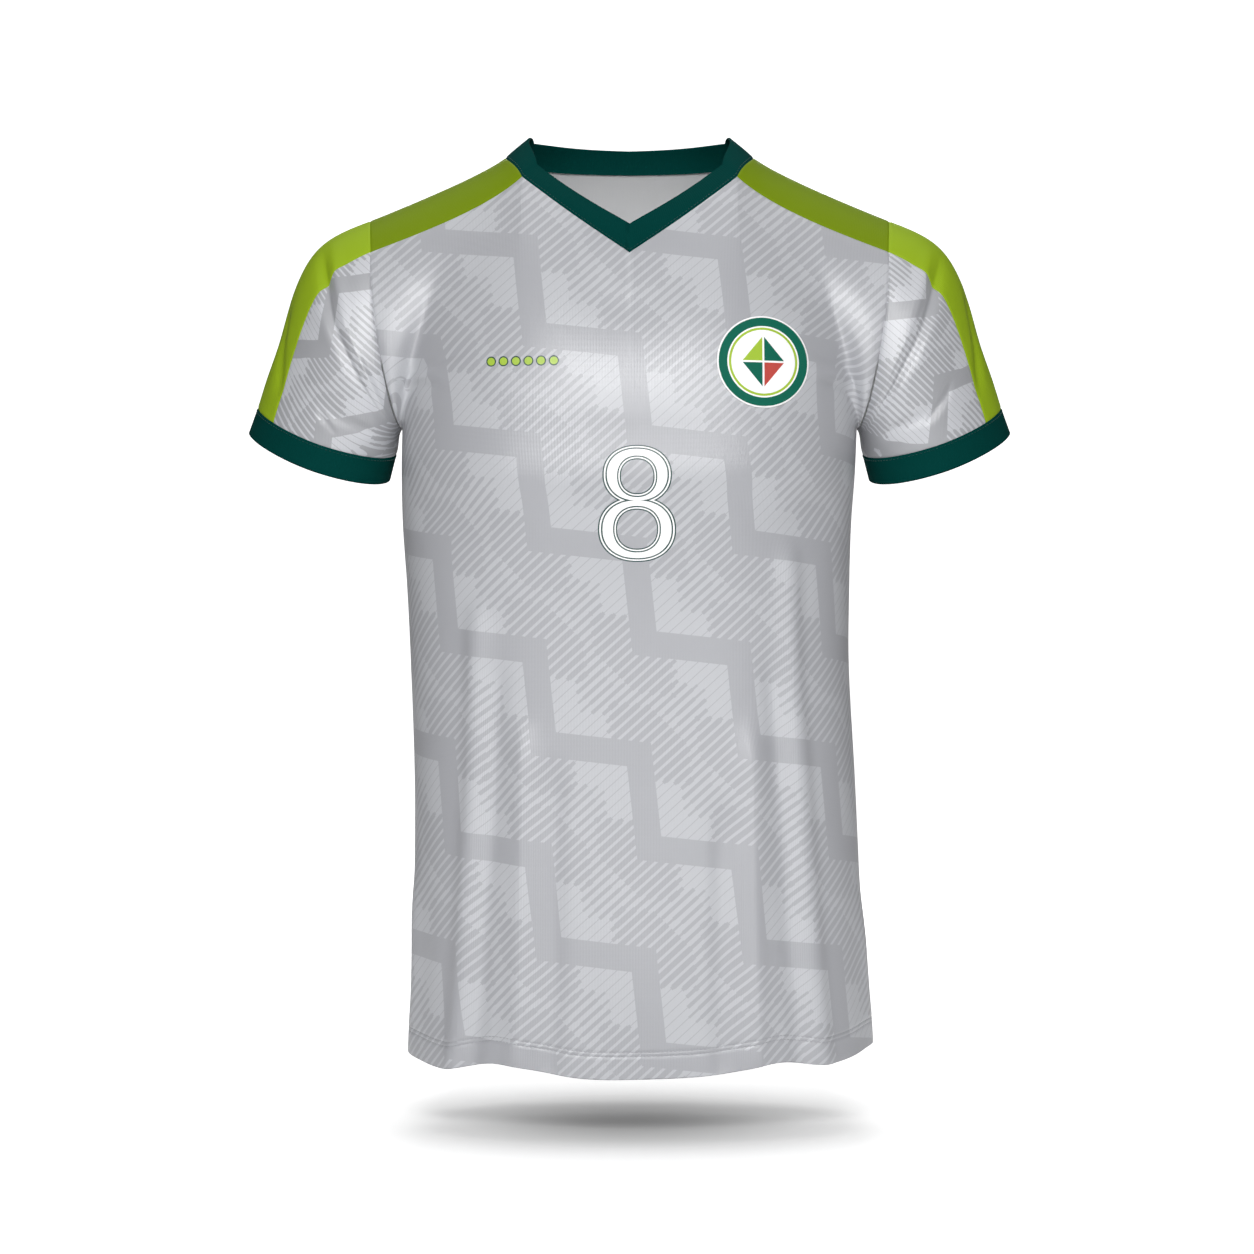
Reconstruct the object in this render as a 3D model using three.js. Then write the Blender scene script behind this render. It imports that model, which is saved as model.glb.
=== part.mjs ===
// A short-sleeved V-neck football jersey, filled out as it hangs on a body, with nobody in it.
// Millimetres, +Z up. The front faces -Y and the wearer's left is +X.
// The origin lies midway between the two points where the shoulder lines meet the collar.
//
// The jersey is cut and sewn from flat pieces: a front and a back, a wide shoulder stripe
// on each side that carries on down the sleeve, a front and a back half for each sleeve,
// a folded rib band for the collar and for each cuff, and a round badge on the chest.
// Every piece is a thin wall. Neighbours share the points of their seam and stop just
// short of it, so that they stay separate solids.

import * as THREE from 'three';

// Cloth
const WALL = 1.6; // knitted cloth of the panels
const HEM_WALL = 2.6; // the same cloth turned up at the hem
const RIB_WALL = 2.4; // folded rib of the collar and cuffs
const SEAM_GAP = 0.3; // between neighbouring pieces
const SAME_WAY = 0.35; // pieces meeting at less than this slope share their edges' direction

// Fineness of the walls
const NECK_STEPS = 6; // centre line to shoulder stripe, along the neckline
const SHOULDER_STEPS = 14; // neck to armhole, along the shoulder stripe
const STRIPE_STEPS = 6; // across a shoulder stripe
const ARMHOLE_STEPS = 10; // armpit to shoulder stripe
const SLEEVE_STEPS = 9; // armhole to cuff
const COLLAR_STEPS = 3; // across the collar
const CUFF_STEPS = 2; // across a cuff
const HEM_DEPTH = 20;
const HEM_FOLD = 1.5; // over this height the wall thickens to the turned-up hem
const BODY_STEPS = 15; // hem to armpit, above the turned-up hem

// The body as level sections. halfWidth, front and back are measured from its middle,
// which drifts by shift to the wearer's left. square is the exponent of the rounded section:
// 2 is an ellipse.
const BODY = [
  { z: -716, halfWidth: 183.5, front: 119, back: 114, square: 2.5, shift: 8.5 },
  { z: -660, halfWidth: 178.0, front: 116, back: 110, square: 2.5, shift: 8.3 },
  { z: -580, halfWidth: 175.6, front: 112, back: 104, square: 2.45, shift: 6.2 },
  { z: -490, halfWidth: 173.5, front: 109, back: 99, square: 2.4, shift: 4.2 },
  { z: -400, halfWidth: 172.6, front: 109, back: 100, square: 2.4, shift: 0.3 },
  { z: -340, halfWidth: 174.2, front: 112, back: 108, square: 2.4, shift: -1.0 },
  { z: -290, halfWidth: 176.6, front: 119, back: 117, square: 2.4, shift: -2.0 },
  { z: -250, halfWidth: 178.5, front: 124, back: 123, square: 2.4, shift: -1.0 },
  { z: -214, halfWidth: 179.0, front: 125, back: 126, square: 2.4, shift: 0.0 },
];
const ARMPIT_Z = -214;
const QUARTER = 250; // a quarter of the way round the body

// Height of the hem round the body. around is the distance from the centre front
// towards the wearer's left; the centre back is at twice a quarter.
const HEM_LINE = [
  { around: -500, z: -708 },
  { around: -400, z: -702 },
  { around: -320, z: -704 },
  { around: -250, z: -692 },
  { around: -215, z: -701 },
  { around: -172, z: -706 },
  { around: -137, z: -709 },
  { around: -98, z: -702.5 },
  { around: -40, z: -712 },
  { around: 0, z: -712.5 },
  { around: 50, z: -709.5 },
  { around: 93, z: -701.5 },
  { around: 129, z: -705 },
  { around: 207, z: -696 },
  { around: 250, z: -697 },
  { around: 330, z: -706 },
  { around: 410, z: -701 },
  { around: 500, z: -708 },
];

// Neck and shoulder, on the wearer's left; the other side is its mirror image.
const NECK_SHARE = 0.31; // of the columns, from the centre line to the shoulder stripe
const NECK = {
  point: [0, -88, -84], // bottom of the V
  frontCorner: [84, -36, -19], // where the stripe's front edge meets the collar
  side: [98, 0, 0],
  backCorner: [87, 35, -3],
  backCentre: [0, 69, -4],
};
const SHOULDER_RIDGE = { neck: [98, 0, 0], bend: [118, 0, -15], tip: [204.6, 0, -50] };
const STRIPE_FRONT_TIP = [202, -36, -78];
const STRIPE_BACK_TIP = [201, 38, -78];
const RIDGE_PULL = 0.5; // how far the cloth runs level over the shoulder line
const STRIPE_SAG = 3; // the stripe's edges dip by this much half way along the shoulder

// How the cloth runs up each column from the level of the armpit to the neckline or
// stripe: the direction and pull with which it leaves and arrives.
const RISE = {
  front: {
    centre: { leave: [0, -2, 140], arrive: [0, 46, 132] },
    neck: { leave: [0, -4, 205], arrive: [0, 105, 150] },
    armhole: { leave: [14, -235, -10], arrive: [-2, 78, 128] },
  },
  back: {
    centre: { leave: [0, 12, 215], arrive: [0, -150, 165] },
    neck: { leave: [0, 8, 230], arrive: [0, -165, 140] },
    armhole: { leave: [14, 240, 0], arrive: [-2, -82, 124] },
  },
};
const ARMHOLE_PULL_FROM = 0.72; // share of the columns where the armhole starts to turn the cloth

// Sleeve, on the wearer's left
const CUFF = {
  seamCentre: [239.5, 9, -215],
  out: [0.949, 0, 0.317], // towards the outer edge of the cuff
  forward: [0, -0.966, -0.259], // towards its front
  outRadius: 58,
  forwardRadius: 56,
  depth: 22,
  flare: 1.2, // the cuff's free edge is this much wider
  pinch: 1.72, // exponent of its outer half: 2 is an ellipse and less is pinched
};
const STRIPE_ANGLE = 40; // half of the stripe, round the sleeve, in degrees
const SLEEVE_PULL = {
  leave: { top: [166, 0, -60], front: [70, -34, -52], under: [12, 0, -8], back: [70, 34, -34] },
  arrive: { top: [112, 40, -354], front: [26, 20, -78], under: [7, 6, -20], back: [26, 24, -72] },
};

// Collar: how far its free edge stands from the neck seam
const COLLAR_LEAN = {
  point: [0, 9, 23.5],
  frontCorner: [-12, 11, 11],
  side: [-18, 2, 13.6],
  backCorner: [-10, -6, 19],
  backCentre: [0, -5, 18.5],
};
const COLLAR_BOW = 1.2; // the rib rounds outwards by this much half way up

// Badge on the wearer's left of the chest
const BADGE = { x: 101.5, z: -169, radius: 35.5, thickness: 0.9, lift: 0.5, rings: 4, sides: 32 };

// Soft folds of the body cloth. from and to are [around, z] of the crest; rise is its height,
// below zero for a trough, and width is the spread to either side.
const BODY_FOLDS = [
  // Long folds that hang from the chest to the hem
  { from: [-117, -345], to: [-137, -730], width: 12, rise: 5.5 },
  { from: [-97, -400], to: [-107, -730], width: 9, rise: -3.4 },
  { from: [-75, -440], to: [-83, -730], width: 9, rise: 4.2 },
  { from: [-57, -470], to: [-61, -730], width: 9, rise: -3.2 },
  { from: [-8, -560], to: [4, -730], width: 22, rise: 2 },
  { from: [60, -500], to: [51, -730], width: 10, rise: -3.4 },
  { from: [84, -440], to: [73, -730], width: 9, rise: 4.4 },
  { from: [104, -400], to: [99, -730], width: 9, rise: -3.4 },
  { from: [117, -300], to: [132, -730], width: 12, rise: 5.5 },
  { from: [205, -560], to: [214, -730], width: 18, rise: 4 },
  { from: [-200, -540], to: [-206, -730], width: 18, rise: 4.5 },
  // Hollows where the cloth falls in below the chest
  { from: [-205, -262], to: [-70, -302], width: 20, rise: -4.5 },
  { from: [205, -262], to: [80, -300], width: 20, rise: -4.5 },
  // Short pulls from the armpits
  { from: [-224, -185], to: [-140, -178], width: 8, rise: 1.6 },
  { from: [-232, -196], to: [-138, -190], width: 8, rise: -2.4 },
  { from: [-212, -208], to: [-80, -254], width: 12, rise: 2.2 },
  { from: [208, -184], to: [130, -175], width: 8, rise: 1.6 },
  { from: [228, -204], to: [126, -187], width: 8, rise: -2.4 },
  { from: [210, -208], to: [80, -254], width: 12, rise: 2.2 },
  // Back: long folds from the shoulder blades, and the hollow of the waist
  { from: [-410, -330], to: [-404, -730], width: 17, rise: 5.5 },
  { from: [-378, -400], to: [-372, -720], width: 14, rise: -4.5 },
  { from: [-340, -440], to: [-332, -730], width: 15, rise: 4.5 },
  { from: [-452, -420], to: [-450, -700], width: 16, rise: -4 },
  { from: [-296, -470], to: [-290, -700], width: 14, rise: -3.5 },
  { from: [486, -480], to: [490, -730], width: 17, rise: 4 },
  { from: [446, -430], to: [448, -720], width: 15, rise: -4.5 },
  { from: [408, -350], to: [402, -730], width: 16, rise: 6 },
  { from: [372, -420], to: [366, -720], width: 14, rise: -4.5 },
  { from: [334, -450], to: [326, -730], width: 15, rise: 4.5 },
  { from: [300, -500], to: [294, -700], width: 13, rise: -3.5 },
  { from: [-300, -214], to: [-350, -260], width: 11, rise: -3.6 },
  { from: [-296, -236], to: [-340, -300], width: 11, rise: 3 },
  { from: [300, -214], to: [352, -262], width: 11, rise: -3.6 },
  { from: [296, -238], to: [338, -302], width: 11, rise: 3 },
];

// Soft folds of a sleeve. from and to are [degrees round the sleeve from its top towards
// the front, share of the way from the armhole to the cuff].
const SLEEVE_FOLDS = [
  { from: [136, 0.14], to: [18, 0.36], width: 8, rise: -1.6 },
  { from: [128, 0.3], to: [34, 0.5], width: 9, rise: 1 },
  { from: [-10, 0.3], to: [-70, 0.4], width: 9, rise: -2.6 },
  { from: [140, 0.55], to: [70, 0.8], width: 8, rise: -2.6 },
  { from: [-60, 0.72], to: [-130, 0.45], width: 9, rise: -3 },
  { from: [-96, 0.3], to: [-150, 0.16], width: 9, rise: 2.8 },
  { from: [16, 0.62], to: [-8, 0.96], width: 9, rise: -2 },
];
const SLEEVE_DEGREE = 1.02; // millimetres of cloth in a degree
const SLEEVE_LENGTH = 150; // millimetres from armhole to cuff where the folds lie

// Colours
const COLOURS = {
  cloth: { color: 0xcfd0d5, roughness: 0.62 },
  lime: { color: 0x83a41f, roughness: 0.6 },
  green: { color: 0x024a43, roughness: 0.72 },
  badge: { color: 0xf4f6f5, roughness: 0.5 },
};

// Small helpers
const point = (list) => new THREE.Vector3(...list);
const mix = (a, b, share) => a + (b - a) * share;
const blend = (a, b, share) => a.clone().lerp(b, share);
const mirrored = (p) => new THREE.Vector3(-p.x, p.y, p.z);
const steps = (count) => Array.from({ length: count + 1 }, (_, i) => i / count);

function smooth(value, from, to) {
  const s = Math.min(1, Math.max(0, (value - from) / (to - from)));
  return s * s * (3 - 2 * s);
}

// A smooth curve through the rows of a table, read at one value of the table's key.
function read(table, key, at, column) {
  const last = table.length - 1;
  let i = 0;
  while (i < last - 1 && at > table[i + 1][key]) i += 1;
  const slope = (k) => {
    const low = table[Math.max(0, k - 1)];
    const high = table[Math.min(last, k + 1)];
    return (high[column] - low[column]) / (high[key] - low[key]);
  };
  const [low, high] = [table[i], table[i + 1]];
  const span = high[key] - low[key];
  const s = (at - low[key]) / span;
  return hermite(low[column], slope(i) * span, high[column], slope(i + 1) * span, s);
}

function hermite(start, leave, end, arrive, s) {
  const [s2, s3] = [s * s, s * s * s];
  return (
    start * (2 * s3 - 3 * s2 + 1) + leave * (s3 - 2 * s2 + s) +
    end * (3 * s2 - 2 * s3) + arrive * (s3 - s2)
  );
}

function curve(start, leave, end, arrive, s) {
  return new THREE.Vector3(
    hermite(start.x, leave.x, end.x, arrive.x, s),
    hermite(start.y, leave.y, end.y, arrive.y, s),
    hermite(start.z, leave.z, end.z, arrive.z, s),
  );
}

// Values given at the top, front, underside and back of a sleeve, read at any angle.
function roundSleeve(values, degrees) {
  const turn = THREE.MathUtils.degToRad(degrees);
  const [top, front, under, back] = ['top', 'front', 'under', 'back'].map((k) => point(values[k]));
  const mean = top.clone().add(front).add(under).add(back).multiplyScalar(1 / 4);
  const vertical = top.clone().sub(under).multiplyScalar(Math.cos(turn) / 2);
  const across = front.clone().sub(back).multiplyScalar(Math.sin(turn) / 2);
  const oval = top.clone().sub(front).add(under).sub(back).multiplyScalar(Math.cos(2 * turn) / 4);
  return mean.add(vertical).add(across).add(oval);
}

// Height of the folds at a place on the cloth, where places are in millimetres.
function foldHeight(folds, place) {
  let height = 0;
  for (const { from, to, width, rise } of folds) {
    const [dx, dz] = [to[0] - from[0], to[1] - from[1]];
    const length = Math.hypot(dx, dz);
    const along = ((place[0] - from[0]) * dx + (place[1] - from[1]) * dz) / length;
    const off = ((place[0] - from[0]) * dz - (place[1] - from[1]) * dx) / length;
    const fade = Math.min(length / 2, 3.5 * width);
    const ends = smooth(along, -width / 2, fade) * smooth(length - along, -width / 2, fade);
    height += rise * ends * Math.exp(-((off / width) ** 2));
  }
  return height;
}

// The body's cloth before its folds. facing is -1 on the front and 1 on the back; column
// runs from 0 at the centre line to 1 at the side; level runs from 0 at the hem to 1 at
// the armpits and 2 at the neckline and stripes.
function ringPoint(facing, column, z) {
  const turn = (column * Math.PI) / 2;
  const [halfWidth, square] = [read(BODY, 'z', z, 'halfWidth'), read(BODY, 'z', z, 'square')];
  const depth = read(BODY, 'z', z, facing < 0 ? 'front' : 'back');
  const [sin, cos] = [Math.sin(turn), Math.max(0, Math.cos(turn))];
  const swell = (sin ** square + cos ** square) ** (-1 / square);
  return new THREE.Vector3(halfWidth * sin * swell, facing * depth * cos * swell, z);
}

function ridgePoint(share) {
  const { neck, bend, tip } = SHOULDER_RIDGE;
  return blend(
    blend(point(neck), point(bend), share),
    blend(point(bend), point(tip), share),
    share,
  );
}

function topEdge(facing, column) {
  const corner = point(facing < 0 ? NECK.frontCorner : NECK.backCorner);
  if (column <= NECK_SHARE) {
    const share = column / NECK_SHARE;
    const centre = point(facing < 0 ? NECK.point : NECK.backCentre);
    const straight = blend(centre, corner, share);
    if (facing < 0) return straight.add(point([0, -2, -1.5]).multiplyScalar(Math.sin(share * Math.PI)));
    return straight.add(point([6, 9, 0]).multiplyScalar(Math.sin(share * Math.PI)));
  }
  const share = (column - NECK_SHARE) / (1 - NECK_SHARE);
  const tip = point(facing < 0 ? STRIPE_FRONT_TIP : STRIPE_BACK_TIP);
  const atNeck = corner.sub(ridgePoint(0));
  const atTip = tip.sub(ridgePoint(1));
  const p = ridgePoint(share).add(blend(atNeck, atTip, share));
  p.z -= STRIPE_SAG * Math.sin(share * Math.PI);
  return p;
}

function riseAt(facing, column, which) {
  const { centre, neck, armhole } = RISE[facing < 0 ? 'front' : 'back'];
  const toNeck = smooth(column, 0, NECK_SHARE);
  const toArmhole = smooth(column, ARMHOLE_PULL_FROM, 1);
  const body = blend(point(centre[which]), point(neck[which]), toNeck);
  return blend(body, point(armhole[which]), toArmhole);
}

function aroundBody(facing, side, column) {
  return side * (facing < 0 ? column * QUARTER : 2 * QUARTER - column * QUARTER);
}

function plainBody(facing, side, column, level) {
  const around = aroundBody(facing, side, column);
  if (level <= 1) {
    const z = mix(read(HEM_LINE, 'around', around, 'z'), ARMPIT_Z, level);
    const p = ringPoint(facing, column, z);
    if (side < 0) p.x = -p.x;
    p.x += read(BODY, 'z', z, 'shift');
    return p;
  }
  const p = curve(
    ringPoint(facing, column, ARMPIT_Z), riseAt(facing, column, 'leave'),
    topEdge(facing, column), riseAt(facing, column, 'arrive'), level - 1,
  );
  return side < 0 ? mirrored(p) : p;
}

// The folded cloth: the plain surface, moved out by the height of the folds there.
function bodyPoint(facing, side, column, level) {
  const plain = plainBody(facing, side, column, level);
  const edge = smooth(2 - level, 0, 0.25) * mix(1, smooth(1 - column, 0, 0.1), smooth(level, 0.98, 1.12));
  const rise = foldHeight(BODY_FOLDS, [aroundBody(facing, side, column), plain.z]) * edge;
  const out = new THREE.Vector3(plain.x, plain.y * 1.6, 0).normalize();
  return plain.addScaledVector(out, rise);
}

// The shoulder stripe: over the ridge from the front's edge to the back's. It leaves each
// edge at the slope at which the body's cloth arrives there.
function stripePoint(side, share, across) {
  const column = mix(NECK_SHARE, 1, share);
  const ridge = ridgePoint(share);
  const front = topEdge(-1, column);
  const back = topEdge(1, column);
  const over = back.clone().sub(front).multiplyScalar(RIDGE_PULL);
  const slopeAt = (facing, edge) => {
    const slope = riseAt(facing, column, 'arrive').setX(0);
    slope.setLength(Math.hypot(ridge.y - edge.y, ridge.z - edge.z));
    return slope.setX(ridge.x - edge.x);
  };
  const p = across < 0
    ? curve(front, slopeAt(-1, front), ridge, over, across + 1)
    : curve(ridge, over, back, slopeAt(1, back).negate(), across);
  return side < 0 ? mirrored(p) : p;
}

// Round the armhole, by angle from the top of the sleeve towards the front.
function armholePoint(side, degrees) {
  const size = Math.abs(degrees);
  if (size <= STRIPE_ANGLE) return stripePoint(side, 1, -degrees / STRIPE_ANGLE);
  const level = 2 - (size - STRIPE_ANGLE) / (180 - STRIPE_ANGLE);
  return bodyPoint(degrees > 0 ? -1 : 1, side, 1, level);
}

function cuffPoint(side, degrees, down) {
  const turn = THREE.MathUtils.degToRad(degrees);
  const out = point(CUFF.out).normalize();
  const forward = point(CUFF.forward).normalize();
  const axis = out.clone().cross(forward);
  const [cos, sin] = [Math.cos(turn), Math.sin(turn)];
  const round = cos > 0 ? (cos ** CUFF.pinch + Math.abs(sin) ** CUFF.pinch) ** (-1 / CUFF.pinch) : 1;
  const p = point(CUFF.seamCentre)
    .addScaledVector(out, cos * round * (CUFF.outRadius + CUFF.flare * down))
    .addScaledVector(forward, sin * round * (CUFF.forwardRadius + CUFF.flare * down))
    .addScaledVector(axis, CUFF.depth * down);
  return side < 0 ? mirrored(p) : p;
}

function sleevePoint(side, degrees, share) {
  const start = armholePoint(1, degrees);
  const end = cuffPoint(1, degrees, 0);
  const leave = roundSleeve(SLEEVE_PULL.leave, degrees);
  const arrive = roundSleeve(SLEEVE_PULL.arrive, degrees);
  const p = curve(start, leave, end, arrive, share);
  const middle = blend(point([205, 0, -130]), point(CUFF.seamCentre), share);
  const folds = SLEEVE_FOLDS.map((fold) => ({
    ...fold,
    from: [fold.from[0] * SLEEVE_DEGREE, fold.from[1] * SLEEVE_LENGTH],
    to: [fold.to[0] * SLEEVE_DEGREE, fold.to[1] * SLEEVE_LENGTH],
  }));
  const edge = smooth(share, 0, 0.15) * smooth(1 - share, 0, 0.12);
  const rise = foldHeight(folds, [degrees * SLEEVE_DEGREE, share * SLEEVE_LENGTH]) * edge;
  p.addScaledVector(p.clone().sub(middle).normalize(), rise);
  return side < 0 ? mirrored(p) : p;
}

// Grids of outer points. Rows run up or along a piece, and columns across it.
const neckShares = steps(NECK_STEPS).map((s) => s * NECK_SHARE);
const shoulderColumns = steps(SHOULDER_STEPS).map((s) => mix(NECK_SHARE, 1, s));
const halfColumns = [...neckShares, ...shoulderColumns.slice(1)];
const signedColumns = [
  ...halfColumns.slice(1).reverse().map((column) => ({ side: -1, column })),
  ...halfColumns.map((column) => ({ side: 1, column })),
];
const bodyHeight = ARMPIT_Z - HEM_LINE[0].z;
const hemLevels = [0, HEM_DEPTH / bodyHeight, (HEM_DEPTH + HEM_FOLD) / bodyHeight];
const bodyLevels = [
  ...hemLevels,
  ...steps(BODY_STEPS).slice(1).map((s) => mix(hemLevels[2], 1, s)),
  ...steps(ARMHOLE_STEPS).slice(1).map((s) => 1 + s),
];
const armholeAngles = steps(ARMHOLE_STEPS).map((s) => mix(180, STRIPE_ANGLE, s));
const stripeAngles = steps(STRIPE_STEPS).map((s) => mix(STRIPE_ANGLE, -STRIPE_ANGLE, s));
const roundAngles = [
  ...armholeAngles,
  ...stripeAngles.slice(1, -1),
  ...armholeAngles.slice(1).reverse().map((a) => -a),
];

function bodyGrid(facing) {
  return bodyLevels.map((level) =>
    signedColumns.map(({ side, column }) => bodyPoint(facing, side, column, level)));
}

function stripeGrid(side) {
  return steps(SHOULDER_STEPS).map((share) =>
    steps(STRIPE_STEPS).map((s) => stripePoint(side, share, mix(-1, 1, s))));
}

function sleeveGrid(side, angles) {
  return steps(SLEEVE_STEPS).map((share) => angles.map((degrees) => sleevePoint(side, degrees, share)));
}

function cuffGrid(side) {
  return steps(CUFF_STEPS).map((down) => roundAngles.map((degrees) => cuffPoint(side, degrees, down)));
}

// The neck seam on one side, from the V to the centre back, with the collar's lean there.
function neckSeam(side) {
  const leans = ['point', 'frontCorner', 'side', 'backCorner', 'backCentre'].map((k) => COLLAR_LEAN[k]);
  const rows = leans.map(([x, y, z], place) => ({ place, x, y, z }));
  const leanAt = (place) => point(['x', 'y', 'z'].map((k) => read(rows, 'place', place, k)));
  const seam = [
    ...neckShares.map((column) => ({ place: column / NECK_SHARE, at: topEdge(-1, column) })),
    ...steps(STRIPE_STEPS).slice(1).map((s) => ({
      place: 1 + 2 * s, at: stripePoint(1, 0, mix(-1, 1, s)),
    })),
    ...neckShares.slice(0, -1).reverse().map((column) => ({
      place: 4 - column / NECK_SHARE, at: topEdge(1, column),
    })),
  ];
  return seam.map(({ place, at }) => {
    const lean = leanAt(place);
    return side < 0 ? { at: mirrored(at), lean: mirrored(lean) } : { at, lean };
  });
}

function collarGrid() {
  const left = neckSeam(1);
  const right = neckSeam(-1).slice(1, -1).reverse();
  const loop = [...left, ...right];
  const middle = point([0, -8, 0]);
  return steps(COLLAR_STEPS).map((share) =>
    loop.map(({ at, lean }) => {
      const out = at.clone().sub(middle).setZ(0).normalize();
      const bow = COLLAR_BOW * Math.sin(share * Math.PI);
      return at.clone().addScaledVector(lean, share).addScaledVector(out, bow);
    }));
}

// A piece is a grid of outer points, with the normal of its outer face at each.
function makePiece(name, grid, looks, { closed = false, wall = () => WALL } = {}) {
  const rows = grid.length;
  const columns = grid[0].length;
  const at = (r, c) => grid[Math.min(rows - 1, Math.max(0, r))][
    closed ? (c + columns) % columns : Math.min(columns - 1, Math.max(0, c))];
  const normals = grid.map((row, r) => row.map((_, c) => {
    const up = at(r + 1, c).clone().sub(at(r - 1, c));
    const across = at(r, c + 1).clone().sub(at(r, c - 1));
    return across.cross(up).normalize();
  }));
  return { name, grid, normals, looks, closed, wall, rows, columns };
}

// The normals of some pieces point inwards at first; outside is a point that shows which.
function faceAway(piece, inside) {
  const r = Math.floor(piece.rows / 2);
  const c = piece.closed ? 0 : Math.floor(piece.columns / 2);
  if (piece.normals[r][c].dot(piece.grid[r][c].clone().sub(point(inside))) > 0) return piece;
  piece.normals.forEach((row) => row.forEach((n) => n.negate()));
  return piece;
}

// One edge of a piece, as a list of [row, column].
function edgeOf(piece, which) {
  const allRows = Array.from({ length: piece.rows }, (_, r) => r);
  const allColumns = Array.from({ length: piece.columns }, (_, c) => c);
  if (which === 'first row') return allColumns.map((c) => [0, c]);
  if (which === 'last row') return allColumns.map((c) => [piece.rows - 1, c]);
  if (which === 'first column') return allRows.map((r) => [r, 0]);
  return allRows.map((r) => [r, piece.columns - 1]);
}

// Where pieces meet, those that face much the same way take the mean of their normals,
// so that their edges stand parallel.
function shareSeamNormals(pieces) {
  const key = (p) => `${Math.round(p.x * 20)},${Math.round(p.y * 20)},${Math.round(p.z * 20)}`;
  const meeting = new Map();
  const everyEdge = (piece) => ['first row', 'last row', 'first column', 'last column']
    .filter((which) => !(piece.closed && which.endsWith('column')))
    .flatMap((which) => edgeOf(piece, which));
  for (const piece of pieces) {
    for (const [r, c] of everyEdge(piece)) {
      const k = key(piece.grid[r][c]);
      const groups = meeting.get(k) ?? [];
      meeting.set(k, groups);
      const normal = piece.normals[r][c];
      const group = groups.find(([first]) => first.dot(normal) > SAME_WAY);
      if (group) group.push(normal);
      else groups.push([normal]);
    }
  }
  for (const group of [...meeting.values()].flat()) {
    const mean = new THREE.Vector3();
    for (const n of new Set(group)) mean.add(n);
    mean.normalize();
    for (const n of group) n.copy(mean);
  }
}

// Draws the sewn edges of a piece back from their seams by half the gap.
function drawBack(piece, edges) {
  const inward = {
    'first row': [1, 0], 'last row': [-1, 0], 'first column': [0, 1], 'last column': [0, -1],
  };
  const moves = edges.flatMap((which) => {
    const [dr, dc] = inward[which];
    return edgeOf(piece, which).map(([r, c]) => {
      const step = piece.grid[r + dr][c + dc].clone().sub(piece.grid[r][c]);
      return { r, c, step: step.setLength(SEAM_GAP / 2) };
    });
  });
  for (const { r, c, step } of moves) piece.grid[r][c].add(step);
  return piece;
}

// The closed wall of a piece: its outer face, its inner face and the rim between them.
function wallGeometry({ grid, normals, closed, wall, rows, columns }) {
  const outer = grid.flat();
  const inner = grid.flatMap((row, r) =>
    row.map((p, c) => p.clone().addScaledVector(normals[r][c], -wall(r))));
  const count = outer.length;
  const triangles = [];
  const quad = (a, b, c, d) => triangles.push(a, b, c, a, c, d);
  const index = (r, c) => r * columns + (c % columns);
  const lastColumn = closed ? columns : columns - 1;
  for (let r = 0; r < rows - 1; r += 1) {
    for (let c = 0; c < lastColumn; c += 1) {
      const corners = [index(r, c), index(r, c + 1), index(r + 1, c + 1), index(r + 1, c)];
      quad(...corners);
      quad(...corners.map((i) => i + count).reverse());
    }
  }
  const rim = (from, to) => quad(from, from + count, to + count, to);
  for (let c = 0; c < lastColumn; c += 1) {
    rim(index(0, c), index(0, c + 1));
    rim(index(rows - 1, c + 1), index(rows - 1, c));
  }
  if (!closed) {
    for (let r = 0; r < rows - 1; r += 1) {
      rim(index(r + 1, 0), index(r, 0));
      rim(index(r, columns - 1), index(r + 1, columns - 1));
    }
  }
  return solid([...outer, ...inner], triangles);
}

// A geometry from points and triangles, turned so that its faces point out.
function solid(points, triangles) {
  let volume = 0;
  for (let i = 0; i < triangles.length; i += 3) {
    const [a, b, c] = [0, 1, 2].map((k) => points[triangles[i + k]]);
    volume += a.dot(b.clone().cross(c));
  }
  const geometry = new THREE.BufferGeometry();
  const places = points.flatMap((p) => [p.x, p.y, p.z]);
  geometry.setAttribute('position', new THREE.Float32BufferAttribute(places, 3));
  geometry.setIndex(volume > 0 ? triangles : [...triangles].reverse());
  geometry.computeVertexNormals();
  return geometry;
}

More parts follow.
